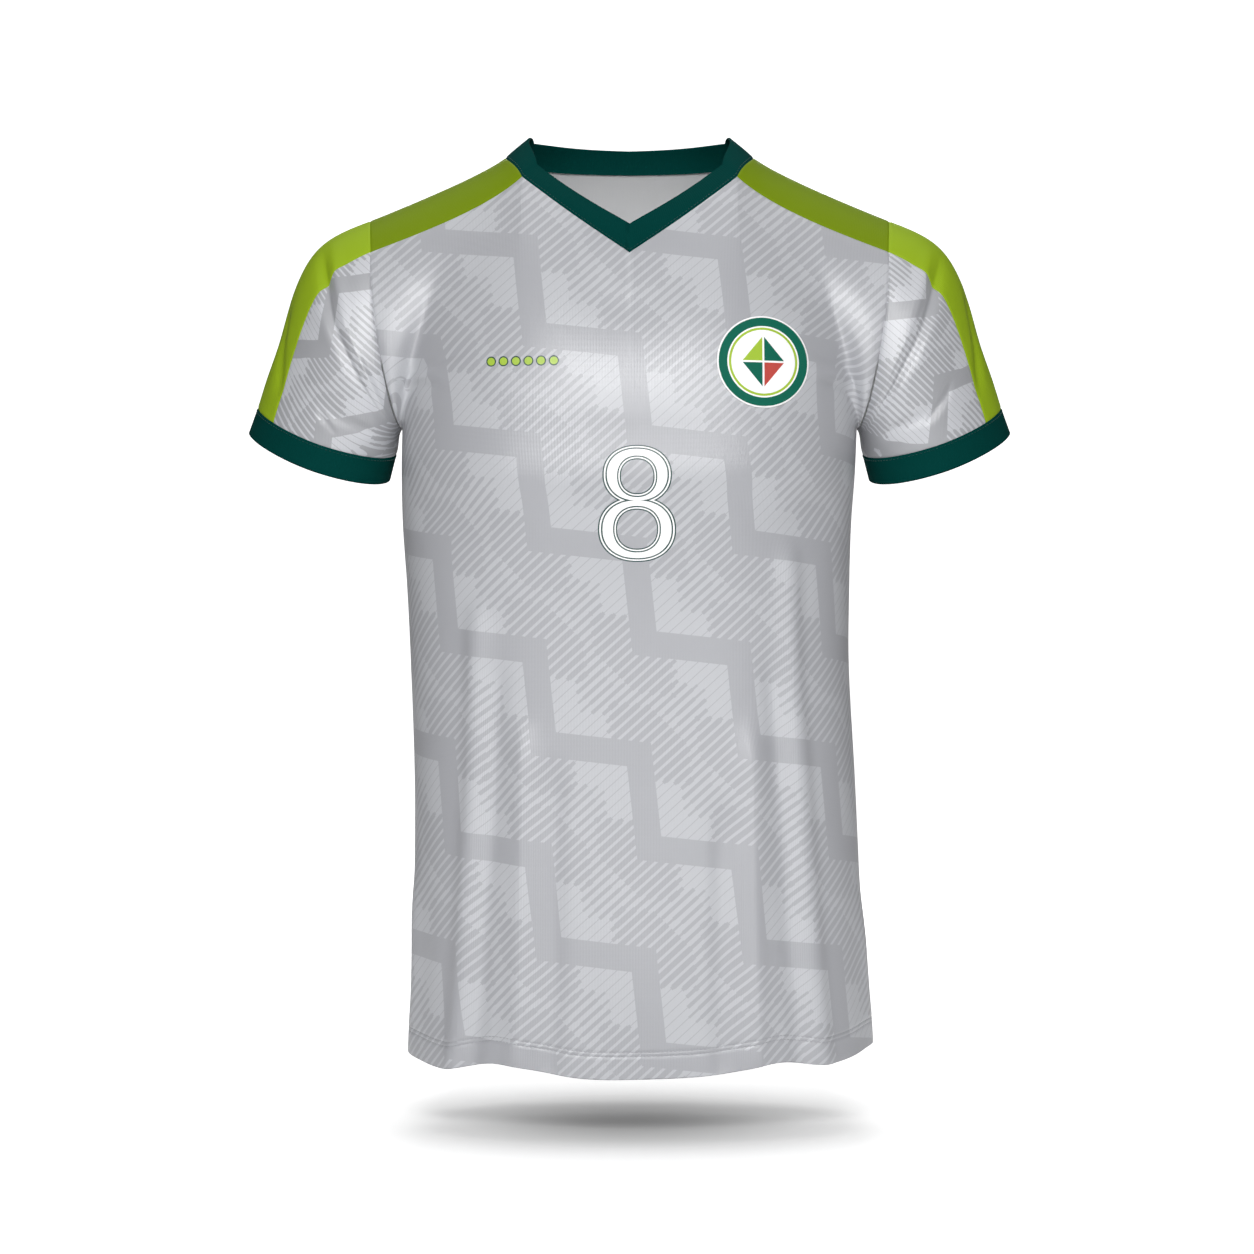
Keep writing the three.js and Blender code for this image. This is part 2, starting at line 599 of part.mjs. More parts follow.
// The badge: a thin round patch made from the front's own faces, moved out.
function badgeGeometry(front) {
  const faces = [];
  for (let r = 0; r < front.rows - 1; r += 1) {
    for (let c = 0; c < front.columns - 1; c += 1) {
      const square = [[r, c], [r, c + 1], [r + 1, c + 1], [r + 1, c]];
      const corners = square.map(([i, j]) => front.grid[i][j]);
      faces.push([corners[0], corners[1], corners[2]], [corners[0], corners[2], corners[3]]);
    }
  }
  const onFront = (x, z) => {
    for (const [a, b, c] of faces) {
      const area = (b.x - a.x) * (c.z - a.z) - (c.x - a.x) * (b.z - a.z);
      const s = ((x - a.x) * (c.z - a.z) - (c.x - a.x) * (z - a.z)) / area;
      const t = ((b.x - a.x) * (z - a.z) - (x - a.x) * (b.z - a.z)) / area;
      if (s >= -1e-6 && t >= -1e-6 && s + t <= 1 + 1e-6) return mix(a.y, b.y, s) + (c.y - a.y) * t;
    }
    throw new Error(`no cloth at ${x}, ${z}`);
  };
  const places = [[BADGE.x, BADGE.z]];
  for (let ring = 1; ring <= BADGE.rings; ring += 1) {
    for (let i = 0; i < BADGE.sides; i += 1) {
      const turn = (i / BADGE.sides) * 2 * Math.PI;
      const radius = (BADGE.radius * ring) / BADGE.rings;
      places.push([BADGE.x + radius * Math.cos(turn), BADGE.z + radius * Math.sin(turn)]);
    }
  }
  const near = places.map(([x, z]) => new THREE.Vector3(x, onFront(x, z) - BADGE.lift, z));
  const far = near.map((p) => p.clone().add(point([0, -BADGE.thickness, 0])));
  const count = near.length;
  const at = (ring, i) => (ring === 0 ? 0 : 1 + (ring - 1) * BADGE.sides + (i % BADGE.sides));
  const triangles = [];
  for (let i = 0; i < BADGE.sides; i += 1) {
    const faceSets = [[at(0, 0), at(1, i), at(1, i + 1)]];
    for (let ring = 1; ring < BADGE.rings; ring += 1) {
      faceSets.push([at(ring, i), at(ring + 1, i), at(ring + 1, i + 1)]);
      faceSets.push([at(ring, i), at(ring + 1, i + 1), at(ring, i + 1)]);
    }
    for (const [a, b, c] of faceSets) triangles.push(a, b, c, a + count, c + count, b + count);
    const [from, to] = [at(BADGE.rings, i), at(BADGE.rings, i + 1)];
    triangles.push(from, from + count, to + count, from, to + count, to);
  }
  return solid([...near, ...far], triangles);
}

// The pieces, in the order in which they are sewn
const hemWall = (r) => (r < 2 ? HEM_WALL : WALL);
const bodyMiddle = [0, 0, -300];
const shoulderMiddle = (side) => [side * 140, 0, -90];
const sleeveMiddle = (side) => [side * 222, 4, -160];
const ribWall = () => RIB_WALL;

const front = faceAway(makePiece('front', bodyGrid(-1), 'cloth', { wall: hemWall }), bodyMiddle);
const back = faceAway(makePiece('back', bodyGrid(1), 'cloth', { wall: hemWall }), bodyMiddle);
const sides = [['left', 1], ['right', -1]];
const shoulderStripes = sides.map(([name, side]) =>
  faceAway(makePiece(`shoulder_stripe_${name}`, stripeGrid(side), 'lime'), shoulderMiddle(side)));
const sleeveFronts = sides.map(([name, side]) =>
  faceAway(
    makePiece(`sleeve_front_${name}`, sleeveGrid(side, armholeAngles), 'cloth'),
    sleeveMiddle(side),
  ));
const sleeveBacks = sides.map(([name, side]) =>
  faceAway(
    makePiece(`sleeve_back_${name}`, sleeveGrid(side, armholeAngles.map((a) => -a)), 'cloth'),
    sleeveMiddle(side),
  ));
const sleeveStripes = sides.map(([name, side]) =>
  faceAway(makePiece(`sleeve_stripe_${name}`, sleeveGrid(side, stripeAngles), 'lime'), sleeveMiddle(side)));
const cuffs = sides.map(([name, side]) =>
  faceAway(
    makePiece(`cuff_${name}`, cuffGrid(side), 'green', { closed: true, wall: ribWall }),
    [side * 240, 5, -225],
  ));
const collar = faceAway(
  makePiece('collar', collarGrid(), 'green', { closed: true, wall: ribWall }),
  [0, 0, -20],
);

const pieces = [
  front, back, ...shoulderStripes, ...sleeveFronts, ...sleeveBacks, ...sleeveStripes, ...cuffs, collar,
];
shareSeamNormals(pieces);

const allButHem = ['last row', 'first column', 'last column'];
const allEdges = ['first row', ...allButHem];
for (const piece of [front, back]) drawBack(piece, allButHem);
for (const piece of [...shoulderStripes, ...sleeveFronts, ...sleeveBacks, ...sleeveStripes]) {
  drawBack(piece, allEdges);
}
for (const piece of [...cuffs, collar]) drawBack(piece, ['first row']);

const jersey = new THREE.Group();
function add(name, geometry, looks) {
  const { color, roughness } = COLOURS[looks];
  const material = new THREE.MeshStandardMaterial({ color, roughness, metalness: 0 });
  const mesh = new THREE.Mesh(geometry, material);
  mesh.name = name;
  jersey.add(mesh);
}
for (const piece of pieces) add(piece.name, wallGeometry(piece), piece.looks);
add('badge', badgeGeometry(front), 'badge');

export default jersey;
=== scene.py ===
"""The looks of a short-sleeved V-neck football jersey, filled out as it hangs on a body."""

import math

import bpy
import numpy as np
from mathutils import Matrix


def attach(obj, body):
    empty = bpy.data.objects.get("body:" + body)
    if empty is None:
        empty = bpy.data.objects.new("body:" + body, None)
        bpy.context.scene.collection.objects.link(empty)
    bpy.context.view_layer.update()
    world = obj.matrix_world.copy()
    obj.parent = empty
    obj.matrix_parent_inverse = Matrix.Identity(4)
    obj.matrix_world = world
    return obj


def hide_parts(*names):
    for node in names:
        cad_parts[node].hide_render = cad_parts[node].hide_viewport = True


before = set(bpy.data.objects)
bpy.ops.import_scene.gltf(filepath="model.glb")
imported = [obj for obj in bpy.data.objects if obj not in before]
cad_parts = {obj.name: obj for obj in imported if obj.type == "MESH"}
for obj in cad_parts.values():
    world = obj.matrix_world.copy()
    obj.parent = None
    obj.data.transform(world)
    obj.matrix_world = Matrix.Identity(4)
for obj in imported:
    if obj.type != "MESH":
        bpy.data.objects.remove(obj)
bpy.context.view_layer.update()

bl_info = {
    "name": "Football Jersey",
    "version": (1, 0, 0),
    "blender": (4, 5, 0),
    "location": "3D View > Sidebar > Jersey",
    "description": "Makes the panels, rib bands, badge, stitching and studio of a football jersey",
    "category": "Add Mesh",
}

MM = 0.001

# The body as level sections, in millimetres: height, half width, depth of front and back,
# exponent of the rounded section, and drift to the wearer's left.
BODY_COLUMNS = ("z", "half_width", "front", "back", "square", "shift")
BODY = (
    (-716, 183.5, 119, 114, 2.5, 8.5),
    (-660, 178.0, 116, 110, 2.5, 8.3),
    (-580, 175.6, 112, 104, 2.45, 6.2),
    (-490, 173.5, 109, 99, 2.4, 4.2),
    (-400, 172.6, 109, 100, 2.4, 0.3),
    (-340, 174.2, 112, 108, 2.4, -1.0),
    (-290, 176.6, 119, 117, 2.4, -2.0),
    (-250, 178.5, 124, 123, 2.4, -1.0),
    (-214, 179.0, 125, 126, 2.4, 0.0),
)
ARMPIT_Z = -214
HEM_Z = -708
QUARTER = 250

# Height of the hem round the body: distance from the centre front, then height.
HEM_LINE = (
    (-500, -708),
    (-400, -702),
    (-320, -704),
    (-250, -692),
    (-215, -701),
    (-172, -706),
    (-137, -709),
    (-98, -702.5),
    (-40, -712),
    (0, -712.5),
    (50, -709.5),
    (93, -701.5),
    (129, -705),
    (207, -696),
    (250, -697),
    (330, -706),
    (410, -701),
    (500, -708),
)

# Neck and shoulder on the wearer's left; the other side is its mirror image.
NECK_SHARE = 0.31
NECK_POINT = (0, -88, -84)
NECK_FRONT_CORNER = (84, -36, -19)
NECK_BACK_CORNER = (87, 35, -3)
NECK_BACK_CENTRE = (0, 69, -4)
RIDGE = ((98, 0, 0), (118, 0, -15), (204.6, 0, -50))
STRIPE_FRONT_TIP = (202, -36, -78)
STRIPE_BACK_TIP = (201, 38, -78)
RIDGE_PULL = 0.5
STRIPE_SAG = 3

# How the cloth leaves the level of the armpit and arrives at the neckline or stripe.
RISE = {
    -1: {
        "centre": ((0, -2, 140), (0, 46, 132)),
        "neck": ((0, -4, 205), (0, 105, 150)),
        "armhole": ((14, -235, -10), (-2, 78, 128)),
    },
    1: {
        "centre": ((0, 12, 215), (0, -150, 165)),
        "neck": ((0, 8, 230), (0, -165, 140)),
        "armhole": ((14, 240, 0), (-2, -82, 124)),
    },
}
ARMHOLE_PULL_FROM = 0.72

# Sleeve and cuff on the wearer's left
CUFF_CENTRE = (239.5, 9, -215)
CUFF_OUT = (0.949, 0, 0.317)
CUFF_FORWARD = (0, -0.966, -0.259)
CUFF_OUT_RADIUS = 58
CUFF_FORWARD_RADIUS = 56
CUFF_DEPTH = 22
CUFF_FLARE = 1.2
CUFF_PINCH = 1.72
STRIPE_ANGLE = 40
SLEEVE_MIDDLE = (205, 0, -130)
# Direction and pull at the top, front, underside and back of the sleeve
SLEEVE_LEAVE = ((166, 0, -60), (70, -34, -52), (12, 0, -8), (70, 34, -34))
SLEEVE_ARRIVE = ((112, 40, -354), (26, 20, -78), (7, 6, -20), (26, 24, -72))
SLEEVE_DEGREE = 1.02
SLEEVE_LENGTH = 150

# Collar: how far its free edge stands from the neck seam, from the V round to the back
COLLAR_LEAN = ((0, 9, 23.5), (-12, 11, 11), (-18, 2, 13.6), (-10, -6, 19), (0, -5, 18.5))
COLLAR_BOW = 1.2

BADGE_X, BADGE_Z, BADGE_RADIUS = 101.5, -169, 35.5

# Soft folds of the body: the crest's two ends as (around, z), its spread and its height.
BODY_FOLDS = (
    ((-107, -345), (-134, -730), 10, 4.2),
    ((-94, -390), (-116, -730), 8, -2.7),
    ((-76, -440), (-83, -730), 10, 4.2),
    ((-57, -470), (-61, -730), 9, -2.8),
    ((-8, -560), (4, -730), 22, 2),
    ((61, -500), (54, -730), 9, -2.8),
    ((83, -440), (75, -730), 10, 4.2),
    ((101, -390), (108, -730), 8, -2.7),
    ((115, -300), (128, -730), 10, 4.2),
    ((205, -560), (214, -730), 18, 4),
    ((-200, -540), (-206, -730), 18, 4.5),
    ((-205, -262), (-70, -302), 20, -4.5),
    ((205, -262), (80, -300), 20, -4.5),
    ((-410, -330), (-404, -730), 17, 5.5),
    ((-378, -400), (-372, -720), 14, -4.5),
    ((-340, -440), (-332, -730), 15, 4.5),
    ((-452, -420), (-450, -700), 16, -4),
    ((-296, -470), (-290, -700), 14, -3.5),
    ((486, -480), (490, -730), 17, 4),
    ((446, -430), (448, -720), 15, -4.5),
    ((408, -350), (402, -730), 16, 6),
    ((372, -420), (366, -720), 14, -4.5),
    ((334, -450), (326, -730), 15, 4.5),
    ((300, -500), (294, -700), 13, -3.5),
    ((-300, -214), (-350, -260), 11, -3.6),
    ((-296, -236), (-340, -300), 11, 3),
    ((300, -214), (352, -262), 11, -3.6),
    ((296, -238), (338, -302), 11, 3),
)
# Sharper creases that the solids leave out: a path, its rise, and its spread to the left
# and to the right of the way it runs.
BODY_CREASES = (
    (((-232, -188), (-201, -175), (-166, -170), (-141, -167), (-108, -153)), -1.5, 5, 4),
    (((-226, -193), (-190, -181), (-152, -177), (-134, -181)), 1.2, 4, 4),
    (((-236, -201), (-214, -192), (-186, -185), (-162, -183), (-144, -187), (-132, -197)), -1.9, 4, 5),
    (((132, -160), (149, -163), (169, -166), (199, -171), (227, -181)), -1.4, 4, 5),
    (((130, -174), (160, -177), (190, -180), (218, -190)), 1.2, 4, 4),
    (((138, -182), (156, -183), (181, -187), (203, -194), (229, -205)), -1.9, 4, 5),
    (
        (
            (-175, -222), (-148, -233), (-110, -252), (-59, -261), (0, -260),
            (48, -259), (91, -255), (125, -247), (160, -235), (185, -225),
        ),
        2.6, 24, 11,
    ),
    (((-330, -176), (-290, -184), (-258, -200)), -1.7, 4, 5),
    (((-350, -196), (-300, -198), (-262, -212)), 1.4, 5, 5),
    (((258, -200), (292, -182), (334, -172)), -1.6, 5, 4),
    (((262, -212), (304, -200), (352, -198)), 1.4, 5, 5),
    (((-60, -60), (-34, -104), (0, -128), (30, -108), (58, -64)), -0.8, 12, 12),
    (((-470, -462), (-390, -436), (-310, -446)), -1.6, 18, 12),
    (((310, -436), (380, -430), (466, -452)), -1.6, 12, 18),
)
# Folds of a sleeve: (degrees from the top towards the front, share of the way down)
SLEEVE_FOLDS = (
    ((136, 0.14), (18, 0.36), 8, -1.6),
    ((128, 0.3), (34, 0.5), 9, 1.0),
    ((-10, 0.3), (-70, 0.4), 9, -2.6),
    ((140, 0.55), (70, 0.8), 8, -2.6),
    ((-60, 0.72), (-130, 0.45), 9, -3),
    ((-96, 0.3), (-150, 0.16), 9, 2.8),
    ((16, 0.62), (-8, 0.96), 9, -2),
)
SLEEVE_CREASES = {
    1: (
        (((6, 0.36), (34, 0.35), (68, 0.34), (99, 0.31), (117, 0.3), (150, 0.25)), -3.2, 10, 3.5),
        (((8, 0.27), (38, 0.27), (74, 0.25), (103, 0.21), (122, 0.19), (150, 0.14)), 2.3, 4.5, 10),
        (((4, 0.6), (11, 0.7), (21, 0.8), (32, 0.88), (42, 0.95)), -2.8, 6, 6),
        (((60, 0.75), (70, 0.76), (83, 0.76), (98, 0.79)), -1.4, 5, 3.5),
        (((-150, 0.2), (-104, 0.3), (-60, 0.48)), -1.8, 5, 5),
        (((-130, 0.6), (-84, 0.68), (-44, 0.86)), -1.4, 5, 5),
    ),
    -1: (
        (((4, 0.31), (25, 0.31), (63, 0.35), (82, 0.34), (117, 0.33), (150, 0.28)), -3.2, 10, 3.5),
        (((6, 0.22), (33, 0.24), (70, 0.27), (88, 0.25), (126, 0.22), (150, 0.18)), 2.3, 4.5, 10),
        (((4, 0.66), (11, 0.74), (21, 0.82), (32, 0.89), (41, 0.95)), -2.8, 6, 6),
        (((78, 0.8), (90, 0.81), (100, 0.85)), -1.2, 5, 3.5),
        (((-140, 0.3), (-96, 0.36), (-52, 0.56)), -1.8, 5, 5),
        (((-120, 0.66), (-80, 0.74), (-40, 0.9)), -1.4, 5, 5),
    ),
}


# Curves and tables


def vec(values):
    return np.array(values, float)


def mix(a, b, share):
    return a + (b - a) * share


def smooth(value, low, high):
    s = np.clip((value - low) / (high - low), 0, 1)
    return s * s * (3 - 2 * s)


def hermite(start, leave, end, arrive, s):
    s2, s3 = s * s, s * s * s
    return (
        start * (2 * s3 - 3 * s2 + 1)
        + leave * (s3 - 2 * s2 + s)
        + end * (3 * s2 - 2 * s3)
        + arrive * (s3 - s2)
    )


def read(keys, values, at):
    """A smooth curve through a table's rows, read at many places at once."""
    keys, values, at = vec(keys), vec(values), vec(at)
    last = len(keys) - 1
    low = np.clip(np.arange(last + 1) - 1, 0, last)
    high = np.clip(np.arange(last + 1) + 1, 0, last)
    slopes = (values[high] - values[low]) / (keys[high] - keys[low])
    i = np.searchsorted(keys[1:last], at, side="left")
    span = keys[i + 1] - keys[i]
    s = (at - keys[i]) / span
    return hermite(values[i], slopes[i] * span, values[i + 1], slopes[i + 1] * span, s)


def body_size(name, z):
    rows = vec(BODY)
    return read(rows[:, 0], rows[:, BODY_COLUMNS.index(name)], z)


def fold_height(folds, across, along):
    """Height of the folds at places on the cloth, in millimetres."""
    height = np.zeros(np.broadcast(across, along).shape)
    for start, end, width, rise in folds:
        dx, dz = end[0] - start[0], end[1] - start[1]
        length = math.hypot(dx, dz)
        run = ((across - start[0]) * dx + (along - start[1]) * dz) / length
        off = ((across - start[0]) * dz - (along - start[1]) * dx) / length
        fade = min(length / 2, 3.5 * width)
        ends = smooth(run, -width / 2, fade) * smooth(length - run, -width / 2, fade)
        height += rise * ends * np.exp(-((off / width) ** 2))
    return height


def crease_height(creases, across, along):
    """Height of the creases: each follows a smooth path and fades at its ends."""
    height = np.zeros(np.broadcast(across, along).shape)
    for path, rise, left, right in creases:
        steps = np.arange(len(path))
        places = np.linspace(0, steps[-1], 4 * len(path))
        xs, zs = (read(steps, [p[k] for p in path], places) for k in (0, 1))
        lengths = np.hypot(np.diff(xs), np.diff(zs))
        total = lengths.sum()
        near = np.full(height.shape, 1e9)
        turn, run, start = np.zeros(height.shape), np.zeros(height.shape), 0
        for x, z, dx, dz, size in zip(xs, zs, np.diff(xs), np.diff(zs), lengths):
            s = np.clip(((across - x) * dx + (along - z) * dz) / size**2, 0, 1)
            ox, oz = across - x - s * dx, along - z - s * dz
            gap = ox * ox + oz * oz
            closer = gap < near
            near = np.where(closer, gap, near)
            turn = np.where(closer, dx * oz - dz * ox, turn)
            run = np.where(closer, start + s * size, run)
            start += size
        width = np.where(turn > 0, left, right)
        ends = smooth(run, 0, total * 0.3) * smooth(total - run, 0, total * 0.3)
        height += rise * ends * np.exp(-near / width**2)
    return height


def unit(v):
    return v / np.maximum(np.linalg.norm(v, axis=-1, keepdims=True), 1e-9)


# The cloth's surface, on the wearer's left, as arrays of points in millimetres.
# facing is -1 on the front and 1 on the back. column runs from 0 at the centre line to 1
# at the side; level from 0 at the hem to 1 at the armpits and 2 at the neck and stripes.


def ring(facing, column, z):
    turn = column * math.pi / 2
    half, square = body_size("half_width", z), body_size("square", z)
    depth = body_size("front" if facing < 0 else "back", z)
    sin, cos = np.sin(turn), np.maximum(np.cos(turn), 0)
    swell = (sin**square + cos**square) ** (-1 / square)
    return np.stack([half * sin * swell, facing * depth * cos * swell, z + 0 * sin], -1)


def ridge(share):
    s = vec(share)[..., None]
    neck, bend, tip = (vec(p) for p in RIDGE)
    return mix(mix(neck, bend, s), mix(bend, tip, s), s)


def top_edge(facing, column):
    column = vec(column)
    corner = vec(NECK_FRONT_CORNER if facing < 0 else NECK_BACK_CORNER)
    centre = vec(NECK_POINT if facing < 0 else NECK_BACK_CENTRE)
    bulge = vec((0, -2, -1.5) if facing < 0 else (6, 9, 0))
    s = np.clip(column / NECK_SHARE, 0, 1)[..., None]
    neckline = mix(centre, corner, s) + bulge * np.sin(s * math.pi)
    share = np.clip((column - NECK_SHARE) / (1 - NECK_SHARE), 0, 1)
    tip = vec(STRIPE_FRONT_TIP if facing < 0 else STRIPE_BACK_TIP)
    at_neck, at_tip = corner - ridge(0), tip - ridge(1)
    seam = ridge(share) + mix(at_neck, at_tip, share[..., None])
    seam[..., 2] -= STRIPE_SAG * np.sin(share * math.pi)
    return np.where((column <= NECK_SHARE)[..., None], neckline, seam)


def rise(facing, column, which):
    column = vec(column)
    pulls = RISE[facing]
    to_neck = smooth(column, 0, NECK_SHARE)[..., None]
    to_armhole = smooth(column, ARMHOLE_PULL_FROM, 1)[..., None]
    body = mix(vec(pulls["centre"][which]), vec(pulls["neck"][which]), to_neck)
    return mix(body, vec(pulls["armhole"][which]), to_armhole)


def around(facing, side, column):
    return side * (column * QUARTER if facing < 0 else (2 - column) * QUARTER)


def plain_body(facing, side, column, level):
    """The cloth before its folds. column and level are grids of the same shape."""
    where = around(facing, side, column)
    hem = read([k for k, _ in HEM_LINE], [z for _, z in HEM_LINE], where)
    z = mix(hem, ARMPIT_Z, np.minimum(level, 1))
    low = ring(facing, column, z)
    low[..., 0] = side * low[..., 0] + body_size("shift", z)
    high = hermite(
        ring(facing, column, np.full(column.shape, float(ARMPIT_Z))),
        rise(facing, column, 0),
        top_edge(facing, column),
        rise(facing, column, 1),
        np.clip(level - 1, 0, 1)[..., None],
    )
    high[..., 0] *= side
    return np.where((level <= 1)[..., None], low, high)


def body(facing, side, column, level, creases=BODY_CREASES):
    column, level = np.broadcast_arrays(vec(column), vec(level))
    plain = plain_body(facing, side, column, level)
    edge = smooth(2 - level, 0, 0.25) * mix(
        1, smooth(1 - column, 0, 0.1), smooth(level, 0.98, 1.12)
    )
    where = around(facing, side, column)
    height = fold_height(BODY_FOLDS, where, plain[..., 2])
    height = (height + crease_height(creases, where, plain[..., 2])) * edge
    out = unit(plain * vec((1, 1.6, 0)))
    return plain + out * height[..., None]


def stripe(side, share, across):
    share, across = np.broadcast_arrays(vec(share), vec(across))
    column = mix(NECK_SHARE, 1, share)
    top, front, back = ridge(share), top_edge(-1, column), top_edge(1, column)
    over = (back - front) * RIDGE_PULL

    def slope_at(facing, edge):
        slope = rise(facing, column, 1) * vec((0, 1, 1))
        reach = np.linalg.norm((top - edge)[..., 1:], axis=-1, keepdims=True)
        slope = unit(slope) * reach
        slope[..., 0] = top[..., 0] - edge[..., 0]
        return slope

    s = across[..., None]
    p = np.where(
        s < 0,
        hermite(front, slope_at(-1, front), top, over, s + 1),
        hermite(top, over, back, -slope_at(1, back), s),
    )
    p[..., 0] *= side
    return p


def armhole(degrees):
    size = np.abs(degrees)
    level = np.clip(2 - (size - STRIPE_ANGLE) / (180 - STRIPE_ANGLE), 1, 2)
    one = np.ones(level.shape)
    return np.where(
        (size <= STRIPE_ANGLE)[..., None],
        stripe(1, one, np.clip(-degrees / STRIPE_ANGLE, -1, 1)),
        np.where((degrees > 0)[..., None], body(-1, 1, one, level), body(1, 1, one, level)),
    )


def cuff(side, degrees, down):
    degrees, down = np.broadcast_arrays(vec(degrees), vec(down))
    turn = np.radians(degrees)
    out, forward = unit(vec(CUFF_OUT)), unit(vec(CUFF_FORWARD))
    axis = np.cross(out, forward)
    cos, sin = np.cos(turn), np.sin(turn)
    size = np.maximum(cos, 0) ** CUFF_PINCH + np.abs(sin) ** CUFF_PINCH
    pinch = np.where(cos > 0, np.maximum(size, 1e-6) ** (-1 / CUFF_PINCH), 1)
    p = (
        vec(CUFF_CENTRE)
        + out * (cos * pinch * (CUFF_OUT_RADIUS + CUFF_FLARE * down))[..., None]
        + forward * (sin * pinch * (CUFF_FORWARD_RADIUS + CUFF_FLARE * down))[..., None]
        + axis * (CUFF_DEPTH * down)[..., None]
    )
    p[..., 0] *= side
    return p


def round_sleeve(values, degrees):
    turn = np.radians(degrees)[..., None]
    top, front, under, rear = (vec(v) for v in values)
    return (
        (top + front + under + rear) / 4
        + (top - under) * np.cos(turn) / 2
        + (front - rear) * np.sin(turn) / 2
        + (top - front + under - rear) * np.cos(2 * turn) / 4
    )


def on_sleeve(place):
    return (place[0] * SLEEVE_DEGREE, place[1] * SLEEVE_LENGTH)


def sleeve(side, degrees, share):
    degrees, share = np.broadcast_arrays(vec(degrees), vec(share))
    s = share[..., None]
    p = hermite(
        armhole(degrees),
        round_sleeve(SLEEVE_LEAVE, degrees),
        cuff(1, degrees, 0 * degrees),
        round_sleeve(SLEEVE_ARRIVE, degrees),
        s,
    )
    middle = mix(vec(SLEEVE_MIDDLE), vec(CUFF_CENTRE), s)
    edge = smooth(share, 0, 0.15) * smooth(1 - share, 0, 0.12)
    folds = [(on_sleeve(a), on_sleeve(b), width, h) for a, b, width, h in SLEEVE_FOLDS]
    creases = [([on_sleeve(p) for p in path], *rest) for path, *rest in SLEEVE_CREASES[side]]
    across, along = degrees * SLEEVE_DEGREE, share * SLEEVE_LENGTH
    height = (fold_height(folds, across, along) + crease_height(creases, across, along)) * edge
    p = p + unit(p - middle) * height[..., None]
    p[..., 0] *= side
    return p


def neck_seam(side, columns, across):
    """The neck seam on one side from the V to the centre back, and the collar's lean."""
    rows = vec(COLLAR_LEAN)
    front = top_edge(-1, columns)
    shoulder = stripe(1, 0 * across, across)
    rear = top_edge(1, columns[::-1])
    place = np.concatenate(
        [columns / NECK_SHARE, 2 + across[1:], 4 - columns[::-1][1:] / NECK_SHARE]
    )
    at = np.concatenate([front, shoulder[1:], rear[1:]])
    lean = np.stack([read(np.arange(5), rows[:, k], place) for k in range(3)], -1)
    flip = vec((side, 1, 1))
    return at * flip, lean * flip


# How finely the cloth is sampled: extra rows lie close to every seam and at the hem.


def even(low, high, step, near=(0.5, 1.1, 2.0, 3.2), ends=(True, True)):
    """Places from low to high in millimetres, closer together near the chosen ends."""
    start = [low] + [low + d for d in near] if ends[0] else [low]
    stop = [high - d for d in reversed(near)] + [high] if ends[1] else [high]
    count = max(1, round((stop[0] - start[-1]) / step))
    return np.concatenate([start[:-1], np.linspace(start[-1], stop[0], count + 1), stop[1:]])


NECK_COLUMNS = even(0, 77.5, 3.4, ends=(False, False)) / 77.5 * NECK_SHARE
MIDDLE = even(0, 85, 3.2, ends=(True, False))
OUTSIDE = even(85, 172.5, 1.9, ends=(False, True))
SHOULDER = np.concatenate([MIDDLE, OUTSIDE[1:]]) / 172.5
SHOULDER_COLUMNS = mix(NECK_SHARE, 1, SHOULDER)
HALF = np.concatenate([NECK_COLUMNS, SHOULDER_COLUMNS[1:]])
ARM = even(0, 180, 1.8) / 180
ARM_ANGLES = mix(180, STRIPE_ANGLE, ARM)
ACROSS = even(0, 80, 2.2) / 40 - 1
STRIPE_ANGLES = -ACROSS * STRIPE_ANGLE
SLEEVE_SHARES = even(0, 160, 1.8) / 160
HEM_ROWS = (0, 0.6, 1.6, 3.5, 6, 9, 12, 14.5, 16, 16.8, 17.4, 18, 18.6, 19.4, 20.2, 21, 21.6, 22.2, 23, 24.5)
BODY_HEIGHT = ARMPIT_Z - HEM_Z
BODY_LEVELS = np.concatenate(
    [vec(HEM_ROWS) / BODY_HEIGHT, np.linspace(28 / BODY_HEIGHT, 1, 102), 1 + ARM[1:]]
)
NEEDLES = (17.6, 20.8)  # the two rows of hem stitching, above the hem


class Sheet:
    """A piece of cloth as a grid of outer points, with its place on the flat cloth."""

    def __init__(self, name, points, flat, closed=False):
        self.name = name
        self.points = points
        self.flat = flat
        self.closed = closed
        self.normals = self.find_normals()

    def find_normals(self):
        p = self.points
        up = np.gradient(p, axis=0)
        if self.closed:
            across = np.roll(p, -1, axis=1) - np.roll(p, 1, axis=1)
        else:
            across = np.gradient(p, axis=1)
        return unit(np.cross(across, up))

    def face_away(self, inside):
        r, c = self.points.shape[0] // 2, self.points.shape[1] // 2
        if np.dot(self.normals[r, c], self.points[r, c] - vec(inside)) < 0:
            self.normals = -self.normals
        return self

    def edge_distance(self, which):
        """Distance of every point from one edge, measured along the cloth."""
        axis = 0 if "row" in which else 1
        step = np.linalg.norm(np.diff(self.points, axis=axis), axis=-1)
        zero = np.zeros_like(np.take(step, [0], axis=axis))
        run = np.concatenate([zero, np.cumsum(step, axis=axis)], axis=axis)
        return run if which.startswith("first") else np.take(run, [-1], axis=axis) - run

    def roll_seams(self, edges, depth, width):
        """Turns the sewn edges in, and puckers the cloth beside them a little."""
        for k, which in enumerate(edges):
            d = self.edge_distance(which)
            other = self.edge_distance("first column" if "row" in which else "first row")
            turn = depth * np.clip(1 - d / width, 0, 1) ** 2
            wave = np.sin(other / 3.1 + 1.7 * k) + np.sin(other / 4.7 + 2.9 * k + 1)
            pucker = 0.08 * wave * np.exp(-d / 5) * np.clip(d / 1.5, 0, 1)
            self.points = self.points - self.normals * (turn - pucker)[..., None]


